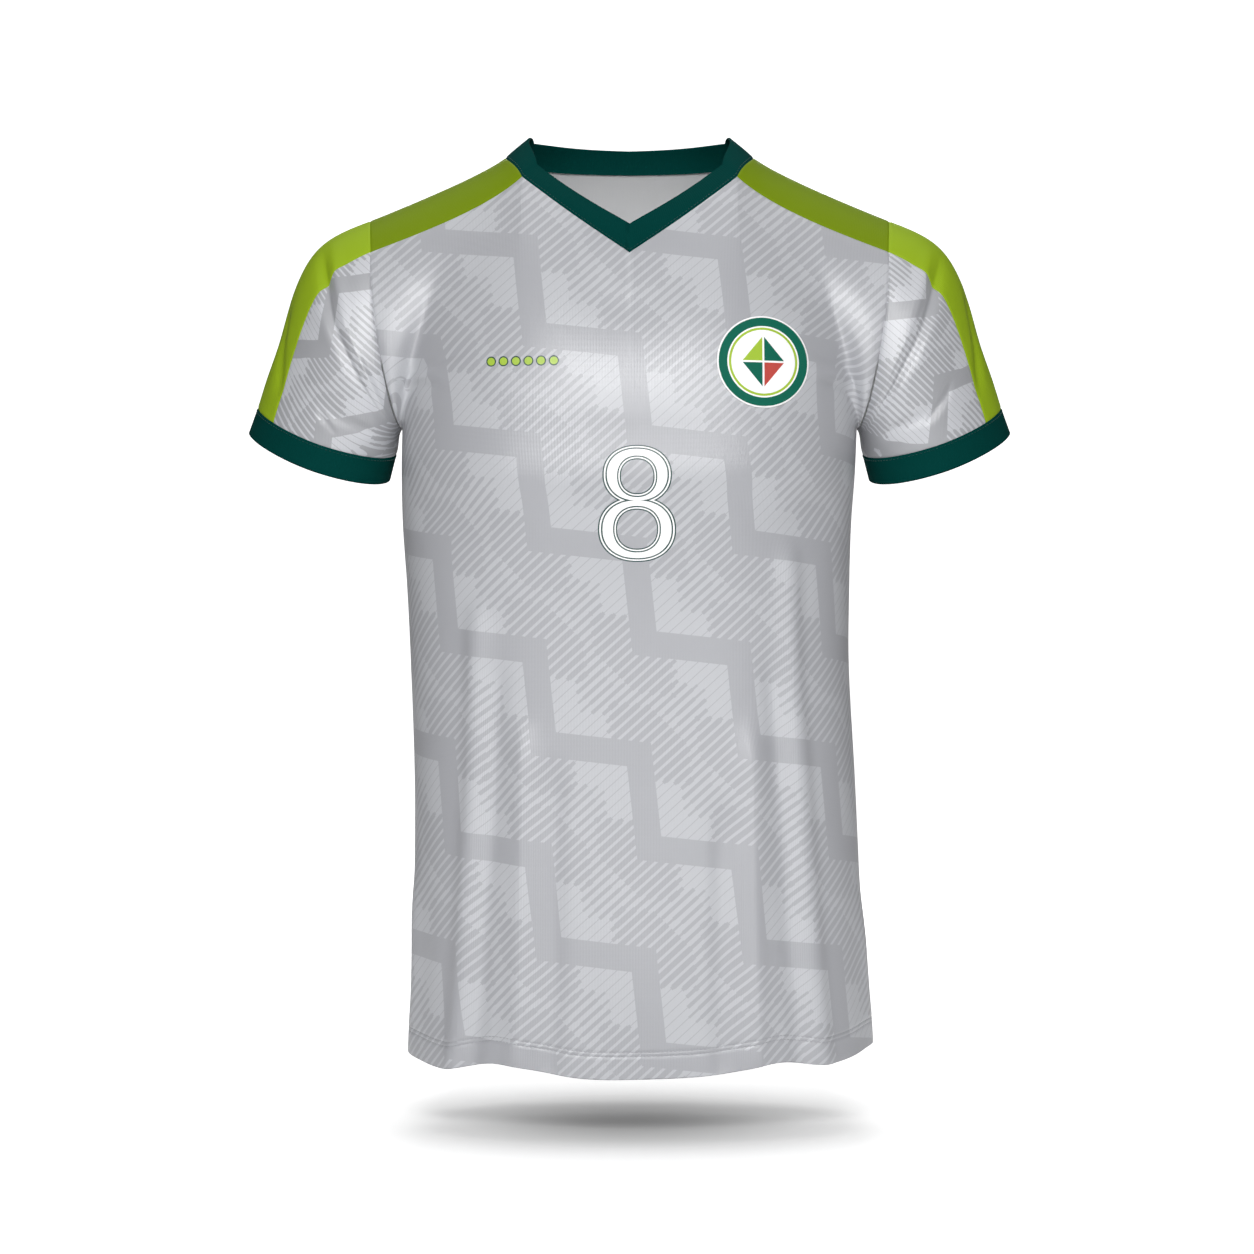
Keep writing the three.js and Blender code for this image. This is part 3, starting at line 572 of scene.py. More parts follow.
def share_normals(sheets):
    """Where sheets meet and face much the same way, they take the mean normal."""
    meeting = {}
    for sheet in sheets:
        rows, columns = sheet.points.shape[:2]
        edge = {(r, c) for r in (0, rows - 1) for c in range(columns)}
        if not sheet.closed:
            edge |= {(r, c) for r in range(rows) for c in (0, columns - 1)}
        for r, c in sorted(edge):
            key = tuple(np.round(sheet.points[r, c] * 10).astype(int))
            meeting.setdefault(key, []).append((sheet, r, c))
    for places in meeting.values():
        groups = []
        for sheet, r, c in places:
            normal = sheet.normals[r, c].copy()
            for group in groups:
                if np.dot(group[0][0], normal) > 0.35:
                    group.append((normal, sheet, r, c))
                    break
            else:
                groups.append([(normal, sheet, r, c)])
        for group in groups:
            mean = unit(sum(n for n, *_ in group))
            for _, sheet, r, c in group:
                sheet.normals[r, c] = mean


def body_sheet(name, facing):
    halves = []
    for side in (-1, 1):
        column, level = np.meshgrid(HALF, BODY_LEVELS)
        halves.append((body(facing, side, column, level), body_flat(facing, side, column, level)))
    points = np.concatenate([halves[0][0][:, :0:-1], halves[1][0]], axis=1)
    flat = np.concatenate([halves[0][1][:, :0:-1], halves[1][1]], axis=1)
    return Sheet(name, points, flat).face_away((0, 0, -300))


def body_flat(facing, side, column, level):
    """Place on the flat cloth: along the body's girth, and up it."""
    plain = plain_body(facing, side, column, level)
    steps = np.linalg.norm(np.diff(plain[..., :2], axis=1), axis=-1)
    girth = np.concatenate([np.zeros((len(plain), 1)), np.cumsum(steps, axis=1)], axis=1)
    girth = plain[:, :1, 0] + side * girth
    across = mix(girth, plain[..., 0], smooth(level, 1, 1.5))
    return np.stack([across * (1 if facing < 0 else -1), plain[..., 2]], -1)


def sleeve_sheet(name, side, angles, mid):
    degrees, share = np.meshgrid(angles, SLEEVE_SHARES)
    points = sleeve(side, degrees, share)
    centre = int(np.argmin(np.abs(angles - mid)))
    steps = np.linalg.norm(np.diff(points, axis=1), axis=-1)
    run = np.concatenate([np.zeros((len(points), 1)), np.cumsum(steps, axis=1)], axis=1)
    run = run - run[:, centre : centre + 1]
    base = points[:, centre]
    lean = unit((points[:, centre + 1] - points[:, centre - 1])[:, [0, 2]])
    flat = base[:, None, [0, 2]] + lean[:, None] * run[..., None]
    if mid < 0:
        flat[..., 0] *= -1
    return Sheet(name, points, flat).face_away((side * 222, 4, -160))


def stripe_sheet(name, side):
    share, across = np.meshgrid(SHOULDER, ACROSS, indexing="ij")
    points = stripe(side, share, across)
    flat = np.stack([across * 38, -share * 120], -1)
    return Sheet(name, points, flat).face_away((side * 140, 0, -90))


def sleeve_stripe_sheet(name, side):
    degrees, share = np.meshgrid(STRIPE_ANGLES, SLEEVE_SHARES)
    flat = np.stack([-degrees, -120 - share * 180], -1)
    return Sheet(name, sleeve(side, degrees, share), flat).face_away((side * 222, 4, -160))


def cuff_sheet(name, side):
    angles = np.concatenate(
        [ARM_ANGLES, STRIPE_ANGLES[1:-1], -ARM_ANGLES[::-1][:-1]]
    )
    down = even(0, 22, 1.6, near=(0.5, 1.1, 2.0)) / 22
    degrees, share = np.meshgrid(angles, down)
    flat = np.stack([degrees * SLEEVE_DEGREE, -share * 22], -1)
    return Sheet(name, cuff(side, degrees, share), flat, True).face_away((side * 240, 5, -225))


def collar_sheet(name):
    left, left_lean = neck_seam(1, NECK_COLUMNS, ACROSS)
    right, right_lean = neck_seam(-1, NECK_COLUMNS, ACROSS)
    at = np.concatenate([left, right[1:-1][::-1]])
    lean = np.concatenate([left_lean, right_lean[1:-1][::-1]])
    out = unit((at - vec((0, -8, 0))) * vec((1, 1, 0)))
    share = (even(0, 20, 1.5, near=(0.5, 1.1, 2.0)) / 20)[:, None, None]
    points = at + lean * share + out * COLLAR_BOW * np.sin(share * math.pi)
    run = np.concatenate([[0], np.cumsum(np.linalg.norm(np.diff(at, axis=0), axis=-1))])
    across, up = np.meshgrid(run, share[:, 0, 0] * 20)
    return Sheet(name, points, np.stack([across, up], -1), True).face_away((0, 0, -20))


def cut_panels():
    """Every cloth piece as a sheet, with seams that meet."""
    sheets = [body_sheet("front_panel", -1), body_sheet("back_panel", 1)]
    for word, side in (("left", 1), ("right", -1)):
        sheets += [
            stripe_sheet(f"shoulder_band_{word}", side),
            sleeve_sheet(f"sleeve_front_panel_{word}", side, ARM_ANGLES, 95),
            sleeve_sheet(f"sleeve_back_panel_{word}", side, -ARM_ANGLES, -95),
            sleeve_stripe_sheet(f"sleeve_band_{word}", side),
            cuff_sheet(f"cuff_band_{word}", side),
        ]
    sheets.append(collar_sheet("collar_band"))
    share_normals(sheets)
    sizes = bpy.context.scene.jersey_sizes
    for sheet in sheets:
        whole = ["first row", "last row", "first column", "last column"]
        if sheet.closed:
            edges = ["first row"]
        elif sheet.name in ("front_panel", "back_panel"):
            edges = whole[1:]
        else:
            edges = whole
        sheet.roll_seams(edges, sizes.seam_depth / MM, sizes.seam_width / MM)
        if sheet.name in ("front_panel", "back_panel"):
            up = sheet.edge_distance("first row")
            for needle in NEEDLES:
                groove = 0.45 * np.exp(-(((up - needle) / 0.9) ** 2))
                sheet.points = sheet.points - sheet.normals * groove[..., None]
    return {sheet.name: sheet for sheet in sheets}


# Meshes


def wall(sheet, thickness, folded=None):
    """The closed wall of a sheet. folded names the edge that is a rounded fold."""
    outer, normals = sheet.points, sheet.normals
    inner = outer - normals * thickness
    layers = [inner[::-1], outer]
    flats = [sheet.flat[::-1], sheet.flat]
    tags = [np.ones(inner.shape[:2]), np.zeros(outer.shape[:2])]
    if folded:
        first = folded == "first row"
        edge, back = (outer[0], outer[1]) if first else (outer[-1], outer[-2])
        n = normals[0] if first else normals[-1]
        ahead = unit(edge - back)
        middle = edge - n * thickness / 2 - ahead * thickness / 2
        arc = []
        for turn in (60, 30, 0, -30, -60):
            t = math.radians(turn)
            arc.append(middle + (n * math.sin(t) + ahead * math.cos(t)) * thickness / 2)
        arc = np.array(arc)
        flat_edge = sheet.flat[0] if first else sheet.flat[-1]
        rim = (arc[::-1] if first else arc, np.repeat(flat_edge[None], 5, axis=0))
        trim = edge - ahead * thickness / 2
        if first:
            layers[1] = np.concatenate([trim[None], outer[1:]])
            layers[0] = np.concatenate([inner[:0:-1], (trim - n * thickness)[None]])
            layers.insert(1, rim[0])
            flats.insert(1, rim[1])
            tags.insert(1, np.zeros(arc.shape[:2]))
        else:
            layers[1] = np.concatenate([outer[:-1], trim[None]])
            layers[0] = np.concatenate([(trim - n * thickness)[None], inner[-2::-1]])
            layers.append(rim[0])
            flats.append(rim[1])
            tags.append(np.zeros(arc.shape[:2]))
    loop = np.concatenate(layers)
    flat = np.concatenate(flats)
    inside = np.concatenate(tags)
    rows, columns = loop.shape[:2]
    index = np.arange(rows * columns).reshape(rows, columns)
    across = np.roll(index, -1, axis=1) if sheet.closed else index[:, 1:]
    here = index if sheet.closed else index[:, :-1]
    quads = np.stack(
        [here, across, np.roll(across, -1, axis=0), np.roll(here, -1, axis=0)], -1
    ).reshape(-1, 4)
    caps = []
    if not sheet.closed:
        half = sheet.points.shape[0]
        ring_rows = list(range(rows))
        for c, flip in ((0, False), (columns - 1, True)):
            ring_ids = [int(index[r, c]) for r in ring_rows]
            # pairs across the wall, from the far end of the two layers to the near one
            bottom, top = half - 1, rows - half if folded != "last row" else half
            pairs = []
            for k in range(half):
                a = ring_ids[half - 1 - k]
                b = ring_ids[(rows - half + k) if folded != "last row" else (half + k)]
                pairs.append((a, b))
            for (a, b), (d, e) in zip(pairs, pairs[1:]):
                caps.append((a, b, e, d) if flip else (a, d, e, b))
            rim_ids = []
            if folded == "first row":
                rim_ids = ring_ids[half - 1 : rows - half + 1]
            elif folded == "last row":
                rim_ids = ring_ids[2 * half - 1 :] + ring_ids[:1]
            if rim_ids:
                caps.append(tuple(rim_ids) if flip else tuple(reversed(rim_ids)))
    return loop.reshape(-1, 3), quads.tolist(), caps, flat.reshape(-1, 2), inside.reshape(-1)


def make_piece(name, points, faces, flat=None, inside=None):
    """A mesh object at the origin, in metres, with its flat place as a UV map."""
    mesh = bpy.data.meshes.new(name)
    mesh.from_pydata((vec(points) * MM).tolist(), [], faces)
    mesh.update()
    loops = np.zeros(len(mesh.loops), int)
    mesh.loops.foreach_get("vertex_index", loops)
    if flat is not None:
        cloth = mesh.uv_layers.new(name="cloth")
        cloth.data.foreach_set("uv", (vec(flat)[loops] * MM).reshape(-1))
    if inside is not None:
        layer = mesh.attributes.new("inside", "FLOAT", "POINT")
        layer.data.foreach_set("value", vec(inside))
    piece = bpy.data.objects.new(name, mesh)
    bpy.context.collection.objects.link(piece)
    bpy.ops.object.select_all(action="DESELECT")
    piece.select_set(True)
    bpy.context.view_layer.objects.active = piece
    bpy.ops.object.mode_set(mode="EDIT")
    bpy.ops.mesh.select_all(action="SELECT")
    bpy.ops.mesh.normals_make_consistent(inside=False)
    bpy.ops.object.mode_set(mode="OBJECT")
    bpy.ops.object.shade_smooth_by_angle(angle=math.radians(50))
    return piece


def sew_in(piece, nodes, material):
    """Gives a finished cloth piece its material and its place in the frame, and hides the parts it stands in
    for.
    """
    piece.data.materials.append(material)
    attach(piece, "root")
    if nodes:
        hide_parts(*nodes)


# Shader building


class Wiring:
    """Builds nodes by their arithmetic, so that a shader reads like a formula."""

    def __init__(self, tree):
        self.tree = tree

    def node(self, kind, **settings):
        node = self.tree.nodes.new(kind)
        for key, value in settings.items():
            setattr(node, key, value)
        return node

    def feed(self, socket, value):
        if isinstance(value, bpy.types.NodeSocket):
            self.tree.links.new(value, socket)
        else:
            socket.default_value = value

    def math(self, operation, *values):
        node = self.node("ShaderNodeMath", operation=operation)
        for socket, value in zip(node.inputs, values):
            self.feed(socket, value)
        return node.outputs[0]

    def add(self, a, b):
        return self.math("ADD", a, b)

    def sub(self, a, b):
        return self.math("SUBTRACT", a, b)

    def mul(self, a, b):
        return self.math("MULTIPLY", a, b)

    def less(self, a, b):
        return self.math("LESS_THAN", a, b)

    def both(self, a, b):
        return self.math("MINIMUM", a, b)

    def either(self, a, b):
        return self.math("MAXIMUM", a, b)

    def choose(self, mask, low, high):
        """low where mask is 0 and high where it is 1."""
        node = self.node("ShaderNodeMix", data_type="FLOAT")
        self.feed(node.inputs[0], mask)
        self.feed(node.inputs[2], low)
        self.feed(node.inputs[3], high)
        return node.outputs[0]

    def tint(self, mask, low, high):
        node = self.node("ShaderNodeMix", data_type="RGBA")
        self.feed(node.inputs[0], mask)
        self.feed(node.inputs[6], low)
        self.feed(node.inputs[7], high)
        return node.outputs[2]

    def shade(self, mask, color, amount):
        """The colour made darker by amount where the mask is 1."""
        node = self.node("ShaderNodeMix", data_type="RGBA", blend_type="MULTIPLY")
        self.feed(node.inputs[0], mask)
        self.feed(node.inputs[6], color)
        self.feed(node.inputs[7], (amount, amount, amount, 1))
        return node.outputs[2]

    def ramp(self, value, low, high, start, end):
        """start below low, end above high, and a smooth change between them."""
        node = self.node("ShaderNodeMapRange", interpolation_type="SMOOTHSTEP")
        for socket, given in zip(node.inputs, (value, low, high, start, end)):
            self.feed(socket, given)
        return node.outputs[0]

    def use(self, group, **values):
        node = self.node("ShaderNodeGroup")
        node.node_tree = group
        for key, value in values.items():
            self.feed(node.inputs[key.replace("_", " ")], value)
        return node.outputs


def new_group(name, inputs, outputs):
    """An empty shader node group with the named sockets."""
    tree = bpy.data.node_groups.new(name, "ShaderNodeTree")
    for label, kind, default in inputs:
        socket = tree.interface.new_socket(label, in_out="INPUT", socket_type=kind)
        if default is not None:
            socket.default_value = default
    for label, kind in outputs:
        tree.interface.new_socket(label, in_out="OUTPUT", socket_type=kind)
    wiring = Wiring(tree)
    start = wiring.node("NodeGroupInput").outputs
    end = wiring.node("NodeGroupOutput").inputs
    return tree, wiring, start, end


FLOAT, VECTOR, COLOUR = "NodeSocketFloat", "NodeSocketVector", "NodeSocketColor"

# The tonal print is a lattice of stepped bands. One step right and one step down, in
# millimetres, and how far the next staircase lies, in steps.
STEP_RIGHT = (72.3, -7.95)
STEP_DOWN = (7.8, -70.8)
NEXT_STAIR = (-1.19, 1.215)
BAND_HALF = 0.141
PRINT_CORNER = (7.1, -467.2)
HATCH_SLOPE = 42
HATCH_PITCH = 6.29


def staircase_group():
    """Place in the lattice: the band's mask, and the places beside it."""
    tree, w, start, end = new_group(
        "stepped band",
        [("Across", FLOAT, 0), ("Up", FLOAT, 0)],
        [("Band", FLOAT), ("Beside", FLOAT), ("Above", FLOAT)],
    )
    (rx, ry), (dx, dy) = STEP_RIGHT, STEP_DOWN
    det = rx * dy - dx * ry
    u, v = start["Across"], start["Up"]
    p = w.add(w.mul(u, dy / det), w.mul(v, -dx / det))
    q = w.add(w.mul(u, -ry / det), w.mul(v, rx / det))
    period = NEXT_STAIR[1] - NEXT_STAIR[0]
    k = w.math("FLOOR", w.add(w.mul(w.sub(w.sub(q, p), 0.5), 1 / period), 0.5))
    p = w.sub(p, w.mul(k, NEXT_STAIR[0]))
    q = w.sub(q, w.mul(k, NEXT_STAIR[1]))
    below = w.less(w.add(w.math("FLOOR", p), 1), q)
    p = w.choose(below, p, w.mul(p, -1))
    q = w.choose(below, q, w.sub(1, q))
    n = w.math("FLOOR", p)
    beside = w.sub(w.sub(p, n), BAND_HALF)
    above = w.sub(w.sub(w.add(n, 1), q), BAND_HALF)
    upright = w.both(w.less(beside, 0), w.less(above, 1))
    w.feed(end["Band"], w.either(w.less(above, 0), upright))
    w.feed(end["Beside"], beside)
    w.feed(end["Above"], above)
    return tree


def print_group():
    """The tonal print: 1 where the darker ink lies."""
    tree, w, start, end = new_group(
        "tonal print",
        [
            ("Vector", VECTOR, None),
            ("Scale", FLOAT, 1),
            ("Mirror", FLOAT, 1),
            ("Corner X", FLOAT, PRINT_CORNER[0]),
            ("Corner Z", FLOAT, PRINT_CORNER[1]),
        ],
        [("Ink", FLOAT)],
    )
    stairs = staircase_group()
    split = w.node("ShaderNodeSeparateXYZ")
    w.feed(split.inputs[0], start["Vector"])
    grow = w.math("DIVIDE", 1, start["Scale"])
    u = w.mul(split.outputs[0], 1000)
    v = w.mul(split.outputs[1], 1000)
    u = w.mul(w.mul(w.sub(u, start["Corner X"]), grow), start["Mirror"])
    v = w.mul(w.sub(v, start["Corner Z"]), grow)
    slope = math.radians(HATCH_SLOPE)
    cos, sin = math.cos(slope), math.sin(slope)
    run = w.add(w.mul(u, cos), w.mul(v, sin))
    rise_by = w.mul(w.sub(w.mul(v, cos), w.mul(u, sin)), 1 / HATCH_PITCH)
    stroke = w.math("FLOOR", rise_by)
    off = w.math("ABSOLUTE", w.sub(w.sub(rise_by, stroke), 0.5))
    middle = w.mul(w.add(stroke, 0.5), HATCH_PITCH)
    uc = w.sub(w.mul(run, cos), w.mul(middle, sin))
    vc = w.add(w.mul(run, sin), w.mul(middle, cos))
    here = w.use(stairs, Across=u, Up=v)
    there = w.use(stairs, Across=uc, Up=vc)
    beside, above = there["Beside"], there["Above"]
    pocket = w.either(
        w.both(w.less(beside, 0.27), w.less(above, 0.58)),
        w.both(w.less(above, 0.25), w.less(beside, 0.55)),
    )
    corner_one = w.either(beside, w.math("ABSOLUTE", w.sub(1, above)))
    corner_two = w.either(w.math("ABSOLUTE", w.sub(beside, 1)), above)
    reach = w.both(corner_one, corner_two)
    half = w.choose(w.less(reach, 0.6), 0.15, 0.23)
    half = w.choose(w.less(reach, 0.4), half, 0.33)
    half = w.choose(pocket, half, 0.045)
    w.feed(end["Ink"], w.either(here["Band"], w.less(off, half)))
    return tree


def knit_group():
    """Fine knit: a height in small staggered loops."""
    tree, w, start, end = new_group(
        "fine knit",
        [("Vector", VECTOR, None), ("Across", FLOAT, 1.1), ("Up", FLOAT, 0.9)],
        [("Height", FLOAT), ("Fibre", FLOAT)],
    )
    split = w.node("ShaderNodeSeparateXYZ")
    w.feed(split.inputs[0], start["Vector"])
    turn = 2000 * math.pi
    u = w.math("DIVIDE", w.mul(split.outputs[0], turn), start["Across"])
    v = w.math("DIVIDE", w.mul(split.outputs[1], turn), start["Up"])
    ribs = w.math("COSINE", u)
    loops = w.math("COSINE", w.add(v, w.mul(w.math("ABSOLUTE", w.math("SINE", w.mul(u, 0.5))), 2.2)))
    w.feed(end["Height"], w.add(w.mul(ribs, 0.5), w.mul(loops, 0.35)))
    noise = w.node("ShaderNodeTexNoise")
    noise.inputs["Scale"].default_value = 1400
    noise.inputs["Detail"].default_value = 3
    w.feed(noise.inputs["Vector"], start["Vector"])
    w.feed(end["Fibre"], noise.outputs["Fac"])
    return tree


def wear_group():
    """Soft uneven shade over an area of cloth."""
    tree, w, start, end = new_group(
        "cloth shade", [("Vector", VECTOR, None), ("Scale", FLOAT, 14)], [("Shade", FLOAT)]
    )
    noise = w.node("ShaderNodeTexNoise")
    noise.inputs["Detail"].default_value = 2
    w.feed(noise.inputs["Vector"], start["Vector"])
    w.feed(noise.inputs["Scale"], start["Scale"])
    w.feed(end["Shade"], noise.outputs["Fac"])
    return tree


def group(name, build):
    return bpy.data.node_groups.get(name) or build()


def new_material(name):
    material = bpy.data.materials.new(name)
    material.use_nodes = True
    tree = material.node_tree
    w = Wiring(tree)
    shader = tree.nodes["Principled BSDF"]
    return material, w, shader


def cloth_finish(w, shader, color, across, up, bump, roughness, sheen, gloss=0.15):
    """The knit's relief, its soft sheen and the uneven shade of its colour."""
    place = w.node("ShaderNodeUVMap", uv_map="cloth").outputs[0]
    body_place = w.node("ShaderNodeTexCoord").outputs["Object"]
    knit = w.use(group("fine knit", knit_group), Vector=place, Across=across, Up=up)
    shade = w.use(group("cloth shade", wear_group), Vector=body_place, Scale=14)["Shade"]
    color = w.shade(w.mul(shade, 0.5), color, 0.93)
    color = w.shade(knit["Fibre"], color, 0.965)
    w.feed(shader.inputs["Base Color"], color)
    relief = w.node("ShaderNodeBump")
    relief.inputs["Strength"].default_value = bump
    relief.inputs["Distance"].default_value = 0.0002
    w.feed(relief.inputs["Height"], w.add(knit["Height"], w.mul(knit["Fibre"], 0.6)))
    w.feed(shader.inputs["Normal"], relief.outputs[0])
    w.feed(shader.inputs["Roughness"], w.add(w.mul(knit["Fibre"], 0.1), roughness - 0.05))
    shader.inputs["Sheen Weight"].default_value = sheen
    shader.inputs["Sheen Roughness"].default_value = 0.45
    shader.inputs["Specular IOR Level"].default_value = gloss


def outside(w):
    """1 on the outer face of a wall and 0 on its inner face."""
    layer = w.node("ShaderNodeAttribute", attribute_name="inside")
    return w.less(layer.outputs["Fac"], 0.5)


def printed_cloth(name, ground, print_ink, scale=1.0, mirror=1.0, corner=PRINT_CORNER, artwork=None):
    """Light grey knit with the tonal print on its outer face."""
    colours = bpy.context.scene.jersey_colours
    material, w, shader = new_material(name)
    place = w.node("ShaderNodeUVMap", uv_map="cloth").outputs[0]
    ink = w.use(
        group("tonal print", print_group),
        Vector=place, Scale=scale, Mirror=mirror, Corner_X=corner[0], Corner_Z=corner[1],
    )["Ink"]
    color = w.tint(ink, tuple(ground), tuple(print_ink))
    if artwork:
        color = artwork(w, place, color)
    color = w.tint(outside(w), tuple(colours.lining), color)
    cloth_finish(w, shader, color, 1.15, 0.95, 0.35, 0.35, 0.02, 0.85)
    return material


def plain_cloth(name, colour, across=1.15, up=0.95, bump=0.35, roughness=0.5, sheen=0.0, gloss=0.08):
    material, w, shader = new_material(name)
    cloth_finish(w, shader, tuple(colour), across, up, bump, roughness, sheen, gloss)
    return material


# The number and the row of dots on the front, in millimetres on the flat cloth:
# centre across and up, then the radii across and up.
NUMBER_BOWLS = ((5.6, -255.6, 25.9, 22.3), (5.6, -296.7, 29.6, 24.6))
NUMBER_HOLES = ((5.6, -256.9, 12.1, 12.6), (5.6, -296.6, 15.1, 14.6))
NUMBER_LINES = ((0.0, 0.9), (1.9, 2.9))
DOTS_CENTRE = (-82.0, -168.9)
DOT_COUNT, DOT_GAP, DOT_RADIUS, DOT_EDGE = 6, 9.8, 3.9, 0.9


def oval_distance(w, u, v, oval):
    """Roughly how far outside an oval a place lies, in millimetres."""
    x, z, across, up = oval
    a = w.math("POWER", w.math("ABSOLUTE", w.mul(w.sub(u, x), 1 / across)), 2.2)
    b = w.math("POWER", w.math("ABSOLUTE", w.mul(w.sub(v, z), 1 / up)), 2.2)
    reach = w.math("POWER", w.add(a, b), 1 / 2.2)
    return w.mul(w.sub(reach, 1), min(across, up))


def front_artwork(w, place, color):
    """The white number with its two thin lines, and the row of dots."""
    colours = bpy.context.scene.jersey_colours
    split = w.node("ShaderNodeSeparateXYZ")
    w.feed(split.inputs[0], place)
    u, v = w.mul(split.outputs[0], 1000), w.mul(split.outputs[1], 1000)
    bowls = w.both(*(oval_distance(w, u, v, oval) for oval in NUMBER_BOWLS))
    holes = w.both(*(oval_distance(w, u, v, oval) for oval in NUMBER_HOLES))
    depth = w.both(w.mul(bowls, -1), holes)
    color = w.tint(w.less(0, depth), color, tuple(colours.number))
    for low, high in NUMBER_LINES:
        line = w.both(w.less(low, depth), w.less(depth, high))
        color = w.tint(line, color, tuple(colours.green))
    start = DOTS_CENTRE[0] - DOT_COUNT * DOT_GAP / 2
    along = w.mul(w.sub(u, start), 1 / DOT_GAP)
    inside_row = w.both(w.less(0, along), w.less(along, DOT_COUNT))
    across = w.mul(w.sub(w.math("FRACT", along), 0.5), DOT_GAP)
    up = w.sub(v, DOTS_CENTRE[1])
    reach = w.math("SQRT", w.add(w.mul(across, across), w.mul(up, up)))
    edge = w.both(inside_row, w.less(reach, DOT_RADIUS))
    fill = w.both(inside_row, w.less(reach, DOT_RADIUS - DOT_EDGE))
    color = w.tint(edge, color, tuple(colours.green))
    return w.tint(fill, color, tuple(colours.lime_light))


def badge_cloth(name):
    """Woven badge: rings round a quartered lozenge."""
    colours = bpy.context.scene.jersey_colours
    material, w, shader = new_material(name)
    place = w.node("ShaderNodeUVMap", uv_map="cloth").outputs[0]
    split = w.node("ShaderNodeSeparateXYZ")
    w.feed(split.inputs[0], place)
    u, v = w.mul(split.outputs[0], 1000), w.mul(split.outputs[1], 1000)
    reach = w.math("SQRT", w.add(w.mul(u, u), w.mul(v, v)))
    color = tuple(colours.number)
    for radius, tone in (
        (34.2, colours.badge_green),
        (27.6, colours.number),
        (26.4, colours.lime_light),
        (24.6, colours.number),
    ):
        color = w.tint(w.less(reach, radius), color, tuple(tone))
    lozenge = w.add(w.math("ABSOLUTE", u), w.mul(w.math("ABSOLUTE", v), 0.82))
    cross = w.both(w.math("ABSOLUTE", u), w.math("ABSOLUTE", v))
    quarter = w.less(w.mul(u, v), 0)
    tone = w.tint(quarter, tuple(colours.badge_green), tuple(colours.lime_light))
    lower = w.both(w.less(v, 0), quarter)
    tone = w.tint(lower, tone, tuple(colours.badge_red))
    shown = w.both(w.less(lozenge, 16.5), w.less(0.7, cross))
    color = w.tint(shown, color, tone)
    cloth_finish(w, shader, color, 0.7, 0.7, 0.5, 0.55, 0.1)
    return material


# Properties


class JerseySizes(bpy.types.PropertyGroup):
    """Sizes of the cloth and its seams."""

    wall: bpy.props.FloatProperty(
        name="Cloth wall", description="Thickness of the knitted panels",
        default=0.0016, min=0.0005, max=0.003, unit="LENGTH",
    )
    rib: bpy.props.FloatProperty(
        name="Rib wall", description="Thickness of the folded rib of the collar and cuffs",
        default=0.0024, min=0.001, max=0.004, unit="LENGTH",
    )
    seam_depth: bpy.props.FloatProperty(
        name="Seam depth", description="How deep a seam sinks between two panels",
        default=0.0005, min=0, max=0.002, unit="LENGTH",
    )
    seam_width: bpy.props.FloatProperty(
        name="Seam width", description="How far from a seam the cloth starts to turn in",
        default=0.0018, min=0.0005, max=0.006, unit="LENGTH",
    )
    stitch: bpy.props.FloatProperty(
        name="Stitch length", description="Length of one stitch of the visible seams",
        default=0.0024, min=0.001, max=0.005, unit="LENGTH",
    )
    badge_lift: bpy.props.FloatProperty(
        name="Badge thickness", description="How far the badge stands above the cloth",
        default=0.0011, min=0.0003, max=0.003, unit="LENGTH",
    )


def colour_property(name, description, default):
    return bpy.props.FloatVectorProperty(
        name=name, description=description, subtype="COLOR", size=4, min=0, max=1, default=default
    )


class JerseyColours(bpy.types.PropertyGroup):
    """Colours of the cloth, inks and badge."""

    cloth: colour_property("Cloth", "Ground of the printed knit", (0.475, 0.485, 0.51, 1))
    ink: colour_property("Print", "Tonal print on the knit", (0.37, 0.375, 0.40, 1))
    lining: colour_property("Inside", "Unprinted inner face of the knit", (0.74, 0.745, 0.76, 1))
    # The sleeves' ground is lighter than the body's: painted light on the sleeves, which face out to the
    # front.
    sleeve_cloth_painted_light: colour_property("Sleeve cloth", "Ground of the sleeves", (0.53, 0.54, 0.57, 1))
    sleeve_ink: colour_property("Sleeve print", "Print on the sleeves", (0.345, 0.35, 0.37, 1))
    # One lime cloth is given two colours: this darker one on the shoulder stripes is painted shade where
    # they face up.
    lime: colour_property("Lime", "Shoulder stripes", (0.16, 0.24, 0.003, 1))
    # The lighter lime on the sleeve stripes is painted light where they face out to the front.
    sleeve_lime_painted_light: colour_property("Sleeve lime", "Sleeve stripes", (0.27, 0.40, 0.014, 1))
    lime_light: colour_property("Light lime", "Lime of the badge and dots", (0.36, 0.53, 0.045, 1))
    green: colour_property("Green", "Collar, cuffs and lines", (0.0, 0.040, 0.035, 1))
    badge_green: colour_property("Badge green", "Green thread of the badge", (0.0, 0.12, 0.075, 1))
    badge_red: colour_property("Badge red", "Red thread of the badge", (0.50, 0.07, 0.055, 1))
    number: colour_property("White", "Number and badge ground", (0.97, 0.97, 0.97, 1))


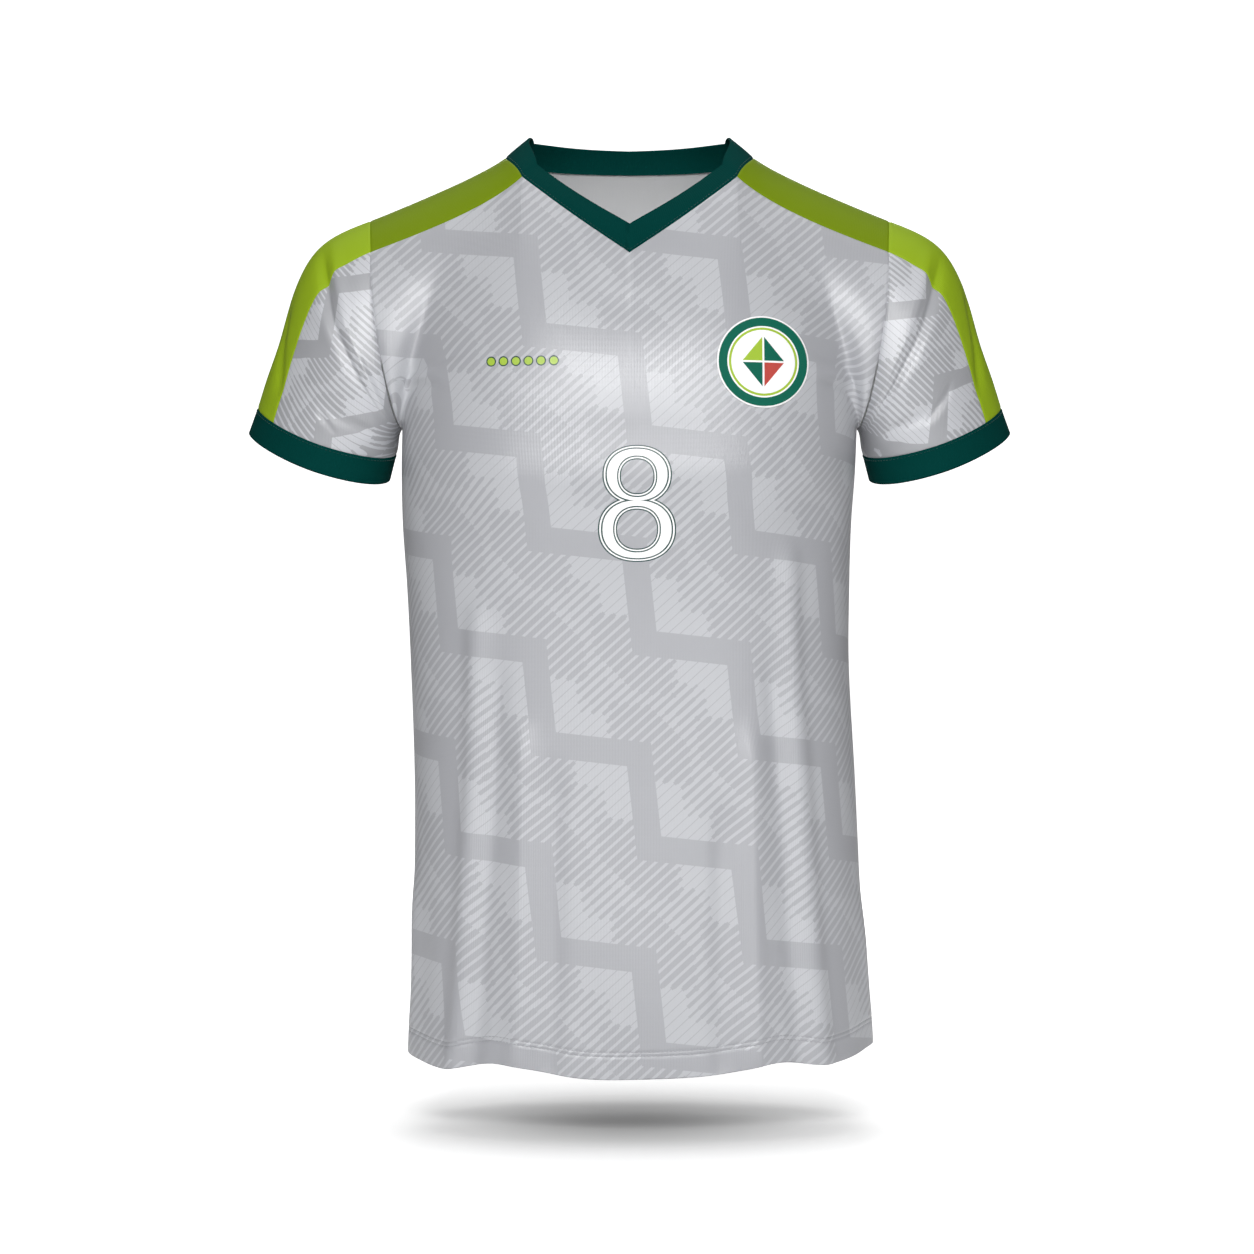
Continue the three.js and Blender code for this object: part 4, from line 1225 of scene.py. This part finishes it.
class JerseyStudio(bpy.types.PropertyGroup):
    """The camera, floor and lights."""

    distance: bpy.props.FloatProperty(
        name="Camera distance", description="From the camera to the middle of the jersey",
        default=2.7, min=1, max=10, unit="LENGTH",
    )
    view_width: bpy.props.FloatProperty(
        name="View width", description="Width that the camera sees at the middle of the jersey",
        default=0.9907, min=0.2, max=5, unit="LENGTH",
    )
    camera_x: bpy.props.FloatProperty(
        name="Camera across", description="Place of the camera to the wearer's left",
        default=-0.002, unit="LENGTH",
    )
    camera_z: bpy.props.FloatProperty(
        name="Camera height", description="Height of the camera above the origin",
        default=-0.3705, unit="LENGTH",
    )
    floor_z: bpy.props.FloatProperty(
        name="Floor height", description="Height of the floor below the hem",
        default=-0.76, unit="LENGTH",
    )
    light: bpy.props.FloatProperty(
        name="Light", description="Strength of all the studio lights", default=1.0, min=0, max=5
    )


# Operators

PANELS = {}


def panels():
    if not PANELS:
        PANELS.update(cut_panels())
    return PANELS


def sheet_piece(sheet, thickness, folded=None):
    points, quads, caps, flat, inside = wall(sheet, thickness / MM, folded)
    return make_piece(sheet.name, points, quads + caps, flat, inside)


class JERSEY_OT_body(bpy.types.Operator):
    """Makes the printed front and back of the body, with their turned-up hem"""

    bl_idname = "jersey.body"
    bl_label = "Front and back"

    def execute(self, context):
        sizes = context.scene.jersey_sizes
        front = sheet_piece(panels()["front_panel"], sizes.wall, "first row")
        colours = context.scene.jersey_colours
        cloth = printed_cloth("printed_front", colours.cloth, colours.ink, artwork=front_artwork)
        sew_in(front, ["front"], cloth)
        back = sheet_piece(panels()["back_panel"], sizes.wall, "first row")
        cloth = printed_cloth("printed_back", colours.cloth, colours.ink)
        sew_in(back, ["back"], cloth)
        return {"FINISHED"}


class JERSEY_OT_shoulder_bands(bpy.types.Operator):
    """Makes the lime stripes along the shoulders"""

    bl_idname = "jersey.shoulder_bands"
    bl_label = "Shoulder stripes"

    def execute(self, context):
        # The shoulder stripes take the darker lime, painted shade.
        cloth = plain_cloth("lime_knit_painted_shade", context.scene.jersey_colours.lime)
        for word in ("left", "right"):
            piece = sheet_piece(
                panels()[f"shoulder_band_{word}"], context.scene.jersey_sizes.wall
            )
            node = f"shoulder_stripe_{word}"
            sew_in(piece, [node], cloth)
        return {"FINISHED"}


class JERSEY_OT_sleeves(bpy.types.Operator):
    """Makes the front and back halves of both sleeves and the stripes between them"""

    bl_idname = "jersey.sleeves"
    bl_label = "Sleeves"

    def execute(self, context):
        wall_size = context.scene.jersey_sizes.wall
        colours = context.scene.jersey_colours
        # The sleeve stripes take the lighter lime, painted light.
        lime = plain_cloth("lime_sleeve_knit_painted_light", colours.sleeve_lime_painted_light)
        corners = {1: (244.0, -183.0), -1: (-235.0, -104.5)}
        for word, side in (("left", 1), ("right", -1)):
            # The sleeves take the lighter ground, painted light.
            cloth = printed_cloth(
                f"printed_sleeve_{word}", colours.sleeve_cloth_painted_light, colours.sleeve_ink,
                0.725, -1.0, corners[side],
            )
            for half in ("front", "back"):
                piece = sheet_piece(panels()[f"sleeve_{half}_panel_{word}"], wall_size)
                node = f"sleeve_{half}_{word}"
                sew_in(piece, [node], cloth)
            piece = sheet_piece(panels()[f"sleeve_band_{word}"], wall_size)
            sew_in(piece, [f"sleeve_stripe_{word}"], lime)
        return {"FINISHED"}


class JERSEY_OT_bands(bpy.types.Operator):
    """Makes the folded rib bands of the collar and the cuffs"""

    bl_idname = "jersey.bands"
    bl_label = "Collar and cuffs"

    def execute(self, context):
        rib_size = context.scene.jersey_sizes.rib
        green = context.scene.jersey_colours.green
        rib = plain_cloth("green_rib", green, 2.1, 1.0, 0.6, 0.8, 0.0, 0.03)
        for word in ("left", "right"):
            piece = sheet_piece(panels()[f"cuff_band_{word}"], rib_size, "last row")
            sew_in(piece, [f"cuff_{word}"], rib)
        piece = sheet_piece(panels()["collar_band"], rib_size, "last row")
        sew_in(piece, ["collar"], rib)
        return {"FINISHED"}


class JERSEY_OT_badge(bpy.types.Operator):
    """Makes the round woven badge on the wearer's left of the chest"""

    bl_idname = "jersey.badge"
    bl_label = "Badge"

    def execute(self, context):
        lift = context.scene.jersey_sizes.badge_lift / MM
        sheet = panels()["front_panel"]
        rings, sides = 22, 120
        radii = np.concatenate([np.linspace(0, 33.2, rings - 4), [34.0, 34.6, 35.1, 35.5]])
        heights = np.concatenate([np.full(rings - 4, lift), [lift * 1.25, lift * 1.2, lift, 0.5 * lift]])
        turn = np.linspace(0, 2 * math.pi, sides, endpoint=False)
        x = BADGE_X + radii[:, None] * np.cos(turn)
        z = BADGE_Z + radii[:, None] * np.sin(turn)
        y = depth_under(sheet, x, z)
        outer = np.stack([x, y - heights[:, None] - 0.25, z], -1)
        inner = np.stack([x, y - 0.12, z], -1)
        flat = np.stack([x - BADGE_X, z - BADGE_Z], -1)
        points = np.concatenate([outer.reshape(-1, 3), inner.reshape(-1, 3)])
        count = rings * sides
        faces = []
        for r in range(rings - 1):
            for i in range(sides):
                j = (i + 1) % sides
                a, b, c, d = r * sides + i, r * sides + j, (r + 1) * sides + j, (r + 1) * sides + i
                faces += [(a, b, c, d), (a + count, d + count, c + count, b + count)]
        rim = (rings - 1) * sides
        for i in range(sides):
            j = (i + 1) % sides
            faces.append((rim + i, rim + j, rim + j + count, rim + i + count))
        piece = make_piece("badge_patch", points, faces, np.concatenate([flat.reshape(-1, 2)] * 2))
        bpy.ops.object.mode_set(mode="EDIT")
        bpy.ops.mesh.select_all(action="SELECT")
        bpy.ops.mesh.remove_doubles(threshold=0.00001)
        bpy.ops.mesh.normals_make_consistent(inside=False)
        bpy.ops.object.mode_set(mode="OBJECT")
        sew_in(
            piece, ["badge"], badge_cloth("woven_badge"),
        )
        return {"FINISHED"}


def depth_under(sheet, x, z):
    """The y of a sheet's outer face under places given by x and z."""
    points = sheet.points
    near = (
        (np.abs(points[..., 0] - x.mean()) < 60) & (np.abs(points[..., 2] - z.mean()) < 60)
    )
    rows, columns = np.where(near)
    patch = points[rows.min() : rows.max() + 1, columns.min() : columns.max() + 1].reshape(-1, 3)
    found = np.empty(x.shape)
    for place in np.ndindex(x.shape):
        gap = (patch[:, 0] - x[place]) ** 2 + (patch[:, 2] - z[place]) ** 2
        nearest = np.argpartition(gap, 6)[:6]
        weight = 1 / (gap[nearest] + 0.05)
        found[place] = (patch[nearest, 1] * weight).sum() / weight.sum()
    return found


class JERSEY_OT_stitching(bpy.types.Operator):
    """Makes the two rows of stitches at the hem and the rows at the collar and cuffs"""

    bl_idname = "jersey.stitching"
    bl_label = "Stitching"

    def execute(self, context):
        length = context.scene.jersey_sizes.stitch / MM
        colours = context.scene.jersey_colours
        grey = plain_cloth("grey_thread", colours.ink, 0.5, 0.5, 0.3, 0.5, 0.2)
        green = plain_cloth("green_thread", colours.green, 0.5, 0.5, 0.3, 0.5, 0.2)
        for name in ("front_panel", "back_panel"):
            rows = [seam_row(panels()[name], needle) for needle in NEEDLES]
            piece = stitches(f"hem_stitches_{name[:-6]}", rows, length)
            thread_in(piece, grey)
        for word in ("left", "right"):
            rows = [seam_row(panels()[f"cuff_band_{word}"], 2.2)]
            thread_in(stitches(f"cuff_stitches_{word}", rows, length), green)
        rows = [seam_row(panels()["collar_band"], 2.2)]
        thread_in(stitches("collar_stitches", rows, length), green)
        return {"FINISHED"}


def thread_in(piece, material):
    piece.data.materials.append(material)
    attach(piece, "root")


def seam_row(sheet, height):
    """Points and normals along a line that runs level across a sheet."""
    run = sheet.edge_distance("first row")
    points, normals = [], []
    for c in range(run.shape[1]):
        points.append([np.interp(height, run[:, c], sheet.points[:, c, k]) for k in range(3)])
        normals.append([np.interp(height, run[:, c], sheet.normals[:, c, k]) for k in range(3)])
    if sheet.closed:
        points.append(points[0])
        normals.append(normals[0])
    return vec(points), unit(vec(normals))


def one_stitch(length):
    """A short rounded thread lying along its own z, drawn out of a small ball."""
    bpy.ops.object.select_all(action="DESELECT")
    bpy.ops.mesh.primitive_uv_sphere_add(segments=6, ring_count=6, radius=0.5 * MM)
    thread = bpy.context.object
    bpy.ops.object.mode_set(mode="EDIT")
    bpy.ops.mesh.select_all(action="SELECT")
    bpy.ops.transform.resize(value=(0.6, 0.44, length))
    bpy.ops.object.mode_set(mode="OBJECT")
    bpy.ops.object.shade_smooth()
    cloth = thread.data.uv_layers[0]
    cloth.name = "cloth"
    places = np.empty(2 * len(thread.data.loops))
    cloth.data.foreach_get("uv", places)
    cloth.data.foreach_set("uv", places * length * MM)
    return thread


def stitches(name, rows, length):
    """Copies of one stitch laid end to end along each row, joined into one piece."""
    first = one_stitch(length)
    copies = [first]
    for path, normals in rows:
        run = np.concatenate([[0], np.cumsum(np.linalg.norm(np.diff(path, axis=0), axis=-1))])
        count = int(run[-1] / (length * 1.35))
        for place in (np.arange(count) + 0.5) / count * run[-1]:
            at, ahead = (vec([np.interp(place + d, run, path[:, k]) for k in range(3)]) for d in (0, 0.5))
            n = unit(vec([np.interp(place, run, normals[:, k]) for k in range(3)]))
            along = unit(ahead - at)
            side = unit(np.cross(n, along))
            up = np.cross(along, side)
            middle = (at + up * 0.12) * MM
            copy = first.copy()
            copy.data = first.data.copy()
            bpy.context.collection.objects.link(copy)
            copy.matrix_world = Matrix([
                (*(float(v[k]) for v in (side, up, along)), float(middle[k])) for k in range(3)
            ] + [(0, 0, 0, 1)])
            copies.append(copy)
    bpy.ops.object.select_all(action="DESELECT")
    for copy in copies[1:]:
        copy.select_set(True)
    piece = copies[1]
    bpy.context.view_layer.objects.active = piece
    bpy.ops.object.join()
    bpy.ops.object.transform_apply(location=True, rotation=True, scale=True)
    piece.name = piece.data.name = name
    bpy.data.objects.remove(first)
    return piece


class JERSEY_OT_studio(bpy.types.Operator):
    """Makes the pale floor and backdrop, the soft lights and the camera"""

    bl_idname = "jersey.studio"
    bl_label = "Studio"

    def execute(self, context):
        studio = context.scene.jersey_studio
        context.scene.view_settings.view_transform = "Standard"
        sweep(studio)
        camera = bpy.data.cameras.new("camera")
        holder = bpy.data.objects.new("camera", camera)
        context.collection.objects.link(holder)
        holder.location = (studio.camera_x, -studio.distance, studio.camera_z)
        holder.rotation_euler = (math.pi / 2, 0, 0)
        camera.sensor_width = 36
        camera.lens = 36 * studio.distance / studio.view_width
        camera.clip_end = 100
        context.scene.camera = holder
        for name, place, aim, size, power, spread, gloss_only in LIGHTS:
            soft_light(name, place, aim, size, power * studio.light, spread, gloss_only)
        world = bpy.data.worlds.new("studio")
        context.scene.world = world
        world.use_nodes = True
        w = Wiring(world.node_tree)
        background = world.node_tree.nodes["Background"]
        background.inputs["Color"].default_value = (1, 1, 1, 1)
        seen = w.node("ShaderNodeLightPath").outputs["Is Camera Ray"]
        w.feed(background.inputs["Strength"], w.choose(seen, 0.11 * studio.light, 1.0))
        return {"FINISHED"}


# Lights: place, aim, width and height, power, spread in degrees, and whether they only
# put a gloss on the cloth
LIGHTS = (
    ("key_light", (-0.35, -3.1, 1.0), (0, 0, -0.35), (0.7, 0.7), 50, 180, False),
    ("fill_light", (0.35, -3.1, 0.85), (0, 0, -0.35), (0.7, 0.7), 46, 180, False),
    ("left_gloss", (-1.8, -2.3, -1.2), (0, 0, -0.6), (0.2, 0.8), 58, 180, True),
    ("right_gloss", (1.8, -2.3, -1.2), (0, 0, -0.6), (0.2, 0.8), 58, 180, True),
    ("back_light", (0, 2.6, 0.8), (0, 0, -0.4), (1.2, 0.8), 22, 180, False),
    ("floor_light", (0, 0.8, 2.6), (0, 0.15, -0.76), (3.0, 3.0), 18, 100, False),
)


def soft_light(name, place, aim, size, power, spread, gloss_only):
    light = bpy.data.lights.new(name, "AREA")
    light.shape = "RECTANGLE"
    light.size, light.size_y = size
    light.energy = power
    light.spread = math.radians(spread)
    holder = bpy.data.objects.new(name, light)
    bpy.context.collection.objects.link(holder)
    holder.location = place
    holder.visible_camera = False
    holder.visible_diffuse = not gloss_only
    way = [a - b for a, b in zip(aim, place)]
    flat_way = math.hypot(way[0], way[1])
    holder.rotation_euler = (
        math.atan2(flat_way, -way[2]),
        0,
        math.atan2(-way[0], way[1]),
    )


def sweep(studio):
    """A white floor that curves up behind into a backdrop, with a soft shadow painted under the jersey."""
    profile = [(-6.0, 0.0), (3.2, 0.0)]
    radius = 1.4
    for k in range(1, 13):
        turn = math.radians(90 * k / 12)
        profile.append((3.2 + radius * math.sin(turn), radius - radius * math.cos(turn)))
    profile.append((4.6, 6.0))
    points, faces = [], []
    for x in (-8.0, 8.0):
        points += [(x, y, studio.floor_z + z) for y, z in profile]
    count = len(profile)
    faces = [(i, i + 1, i + 1 + count, i + count) for i in range(count - 1)]
    mesh = bpy.data.meshes.new("studio_sweep")
    mesh.from_pydata(points, [], faces)
    mesh.update()
    floor = bpy.data.objects.new("studio_sweep", mesh)
    bpy.context.collection.objects.link(floor)
    material, w, shader = new_material("studio_white")
    noise = w.node("ShaderNodeTexNoise")
    noise.inputs["Scale"].default_value = 3
    w.feed(noise.inputs["Vector"], w.node("ShaderNodeTexCoord").outputs["Object"])
    color = w.tint(noise.outputs["Fac"], (0.93, 0.93, 0.93, 1), (0.95, 0.95, 0.95, 1))
    split = w.node("ShaderNodeSeparateXYZ")
    w.feed(split.inputs[0], w.node("ShaderNodeTexCoord").outputs["Object"])
    beside = w.math("ABSOLUTE", split.outputs[0])
    away = w.math("MAXIMUM", beside, w.math("ABSOLUTE", split.outputs[1]))
    near = w.mul(w.ramp(beside, 1.2, 2.4, 1, 0.05), 0.16)
    seen = w.node("ShaderNodeLightPath").outputs["Is Camera Ray"]
    glow = w.choose(seen, near, w.ramp(away, 0.6, 1.8, 0.5, 1.0))
    # Painted shadow: a soft round patch under the jersey darkens the floor's colour, and so its glow, to 30%
    # at its middle.
    shadow_depth_term = w.math("MULTIPLY", w.mul(split.outputs[1], 1 / 0.165), w.mul(split.outputs[1], 1 / 0.165))
    shadow_side_term = w.math("MULTIPLY", w.mul(split.outputs[0], 1 / 0.165), w.mul(split.outputs[0], 1 / 0.165))
    under = w.math("EXPONENT", w.mul(w.add(shadow_depth_term, shadow_side_term), -1))
    color = w.shade(under, color, 0.3)
    far = w.ramp(w.sub(beside, w.mul(split.outputs[1], 0.2)), 0.6, 1.3, 0, 1)
    far = w.either(far, w.ramp(split.outputs[1], -1.3, -0.7, 1, 0))
    w.feed(shader.inputs["Base Color"], w.shade(far, color, 0.5))
    # The glow takes the colour with the painted shadow in it.
    w.feed(shader.inputs["Emission Color"], color)
    w.feed(shader.inputs["Emission Strength"], glow)
    shader.inputs["Roughness"].default_value = 0.9
    floor.data.materials.append(material)


class JERSEY_PT_panel(bpy.types.Panel):
    """Lists the steps that make the jersey"""

    bl_idname = "JERSEY_PT_panel"
    bl_label = "Football Jersey"
    bl_space_type = "VIEW_3D"
    bl_region_type = "UI"
    bl_category = "Jersey"

    def draw(self, context):
        layout = self.layout
        for step in STEPS:
            layout.operator(step.bl_idname)
        for group_name in ("jersey_sizes", "jersey_colours", "jersey_studio"):
            settings = getattr(context.scene, group_name)
            box = layout.box()
            for key in settings.__annotations__:
                box.prop(settings, key)


STEPS = (
    JERSEY_OT_body,
    JERSEY_OT_shoulder_bands,
    JERSEY_OT_sleeves,
    JERSEY_OT_bands,
    JERSEY_OT_badge,
    JERSEY_OT_stitching,
    JERSEY_OT_studio,
)
SETTINGS = {
    "jersey_sizes": JerseySizes,
    "jersey_colours": JerseyColours,
    "jersey_studio": JerseyStudio,
}


def register():
    for kind in (*SETTINGS.values(), *STEPS, JERSEY_PT_panel):
        bpy.utils.register_class(kind)
    for name, kind in SETTINGS.items():
        setattr(bpy.types.Scene, name, bpy.props.PointerProperty(type=kind))


def unregister():
    for name in SETTINGS:
        delattr(bpy.types.Scene, name)
    for kind in reversed((*SETTINGS.values(), *STEPS, JERSEY_PT_panel)):
        bpy.utils.unregister_class(kind)


def main():
    register()
    bpy.ops.jersey.body()
    bpy.ops.jersey.shoulder_bands()
    bpy.ops.jersey.sleeves()
    bpy.ops.jersey.bands()
    bpy.ops.jersey.badge()
    bpy.ops.jersey.stitching()
    bpy.ops.jersey.studio()


if __name__ == "__main__":
    main()
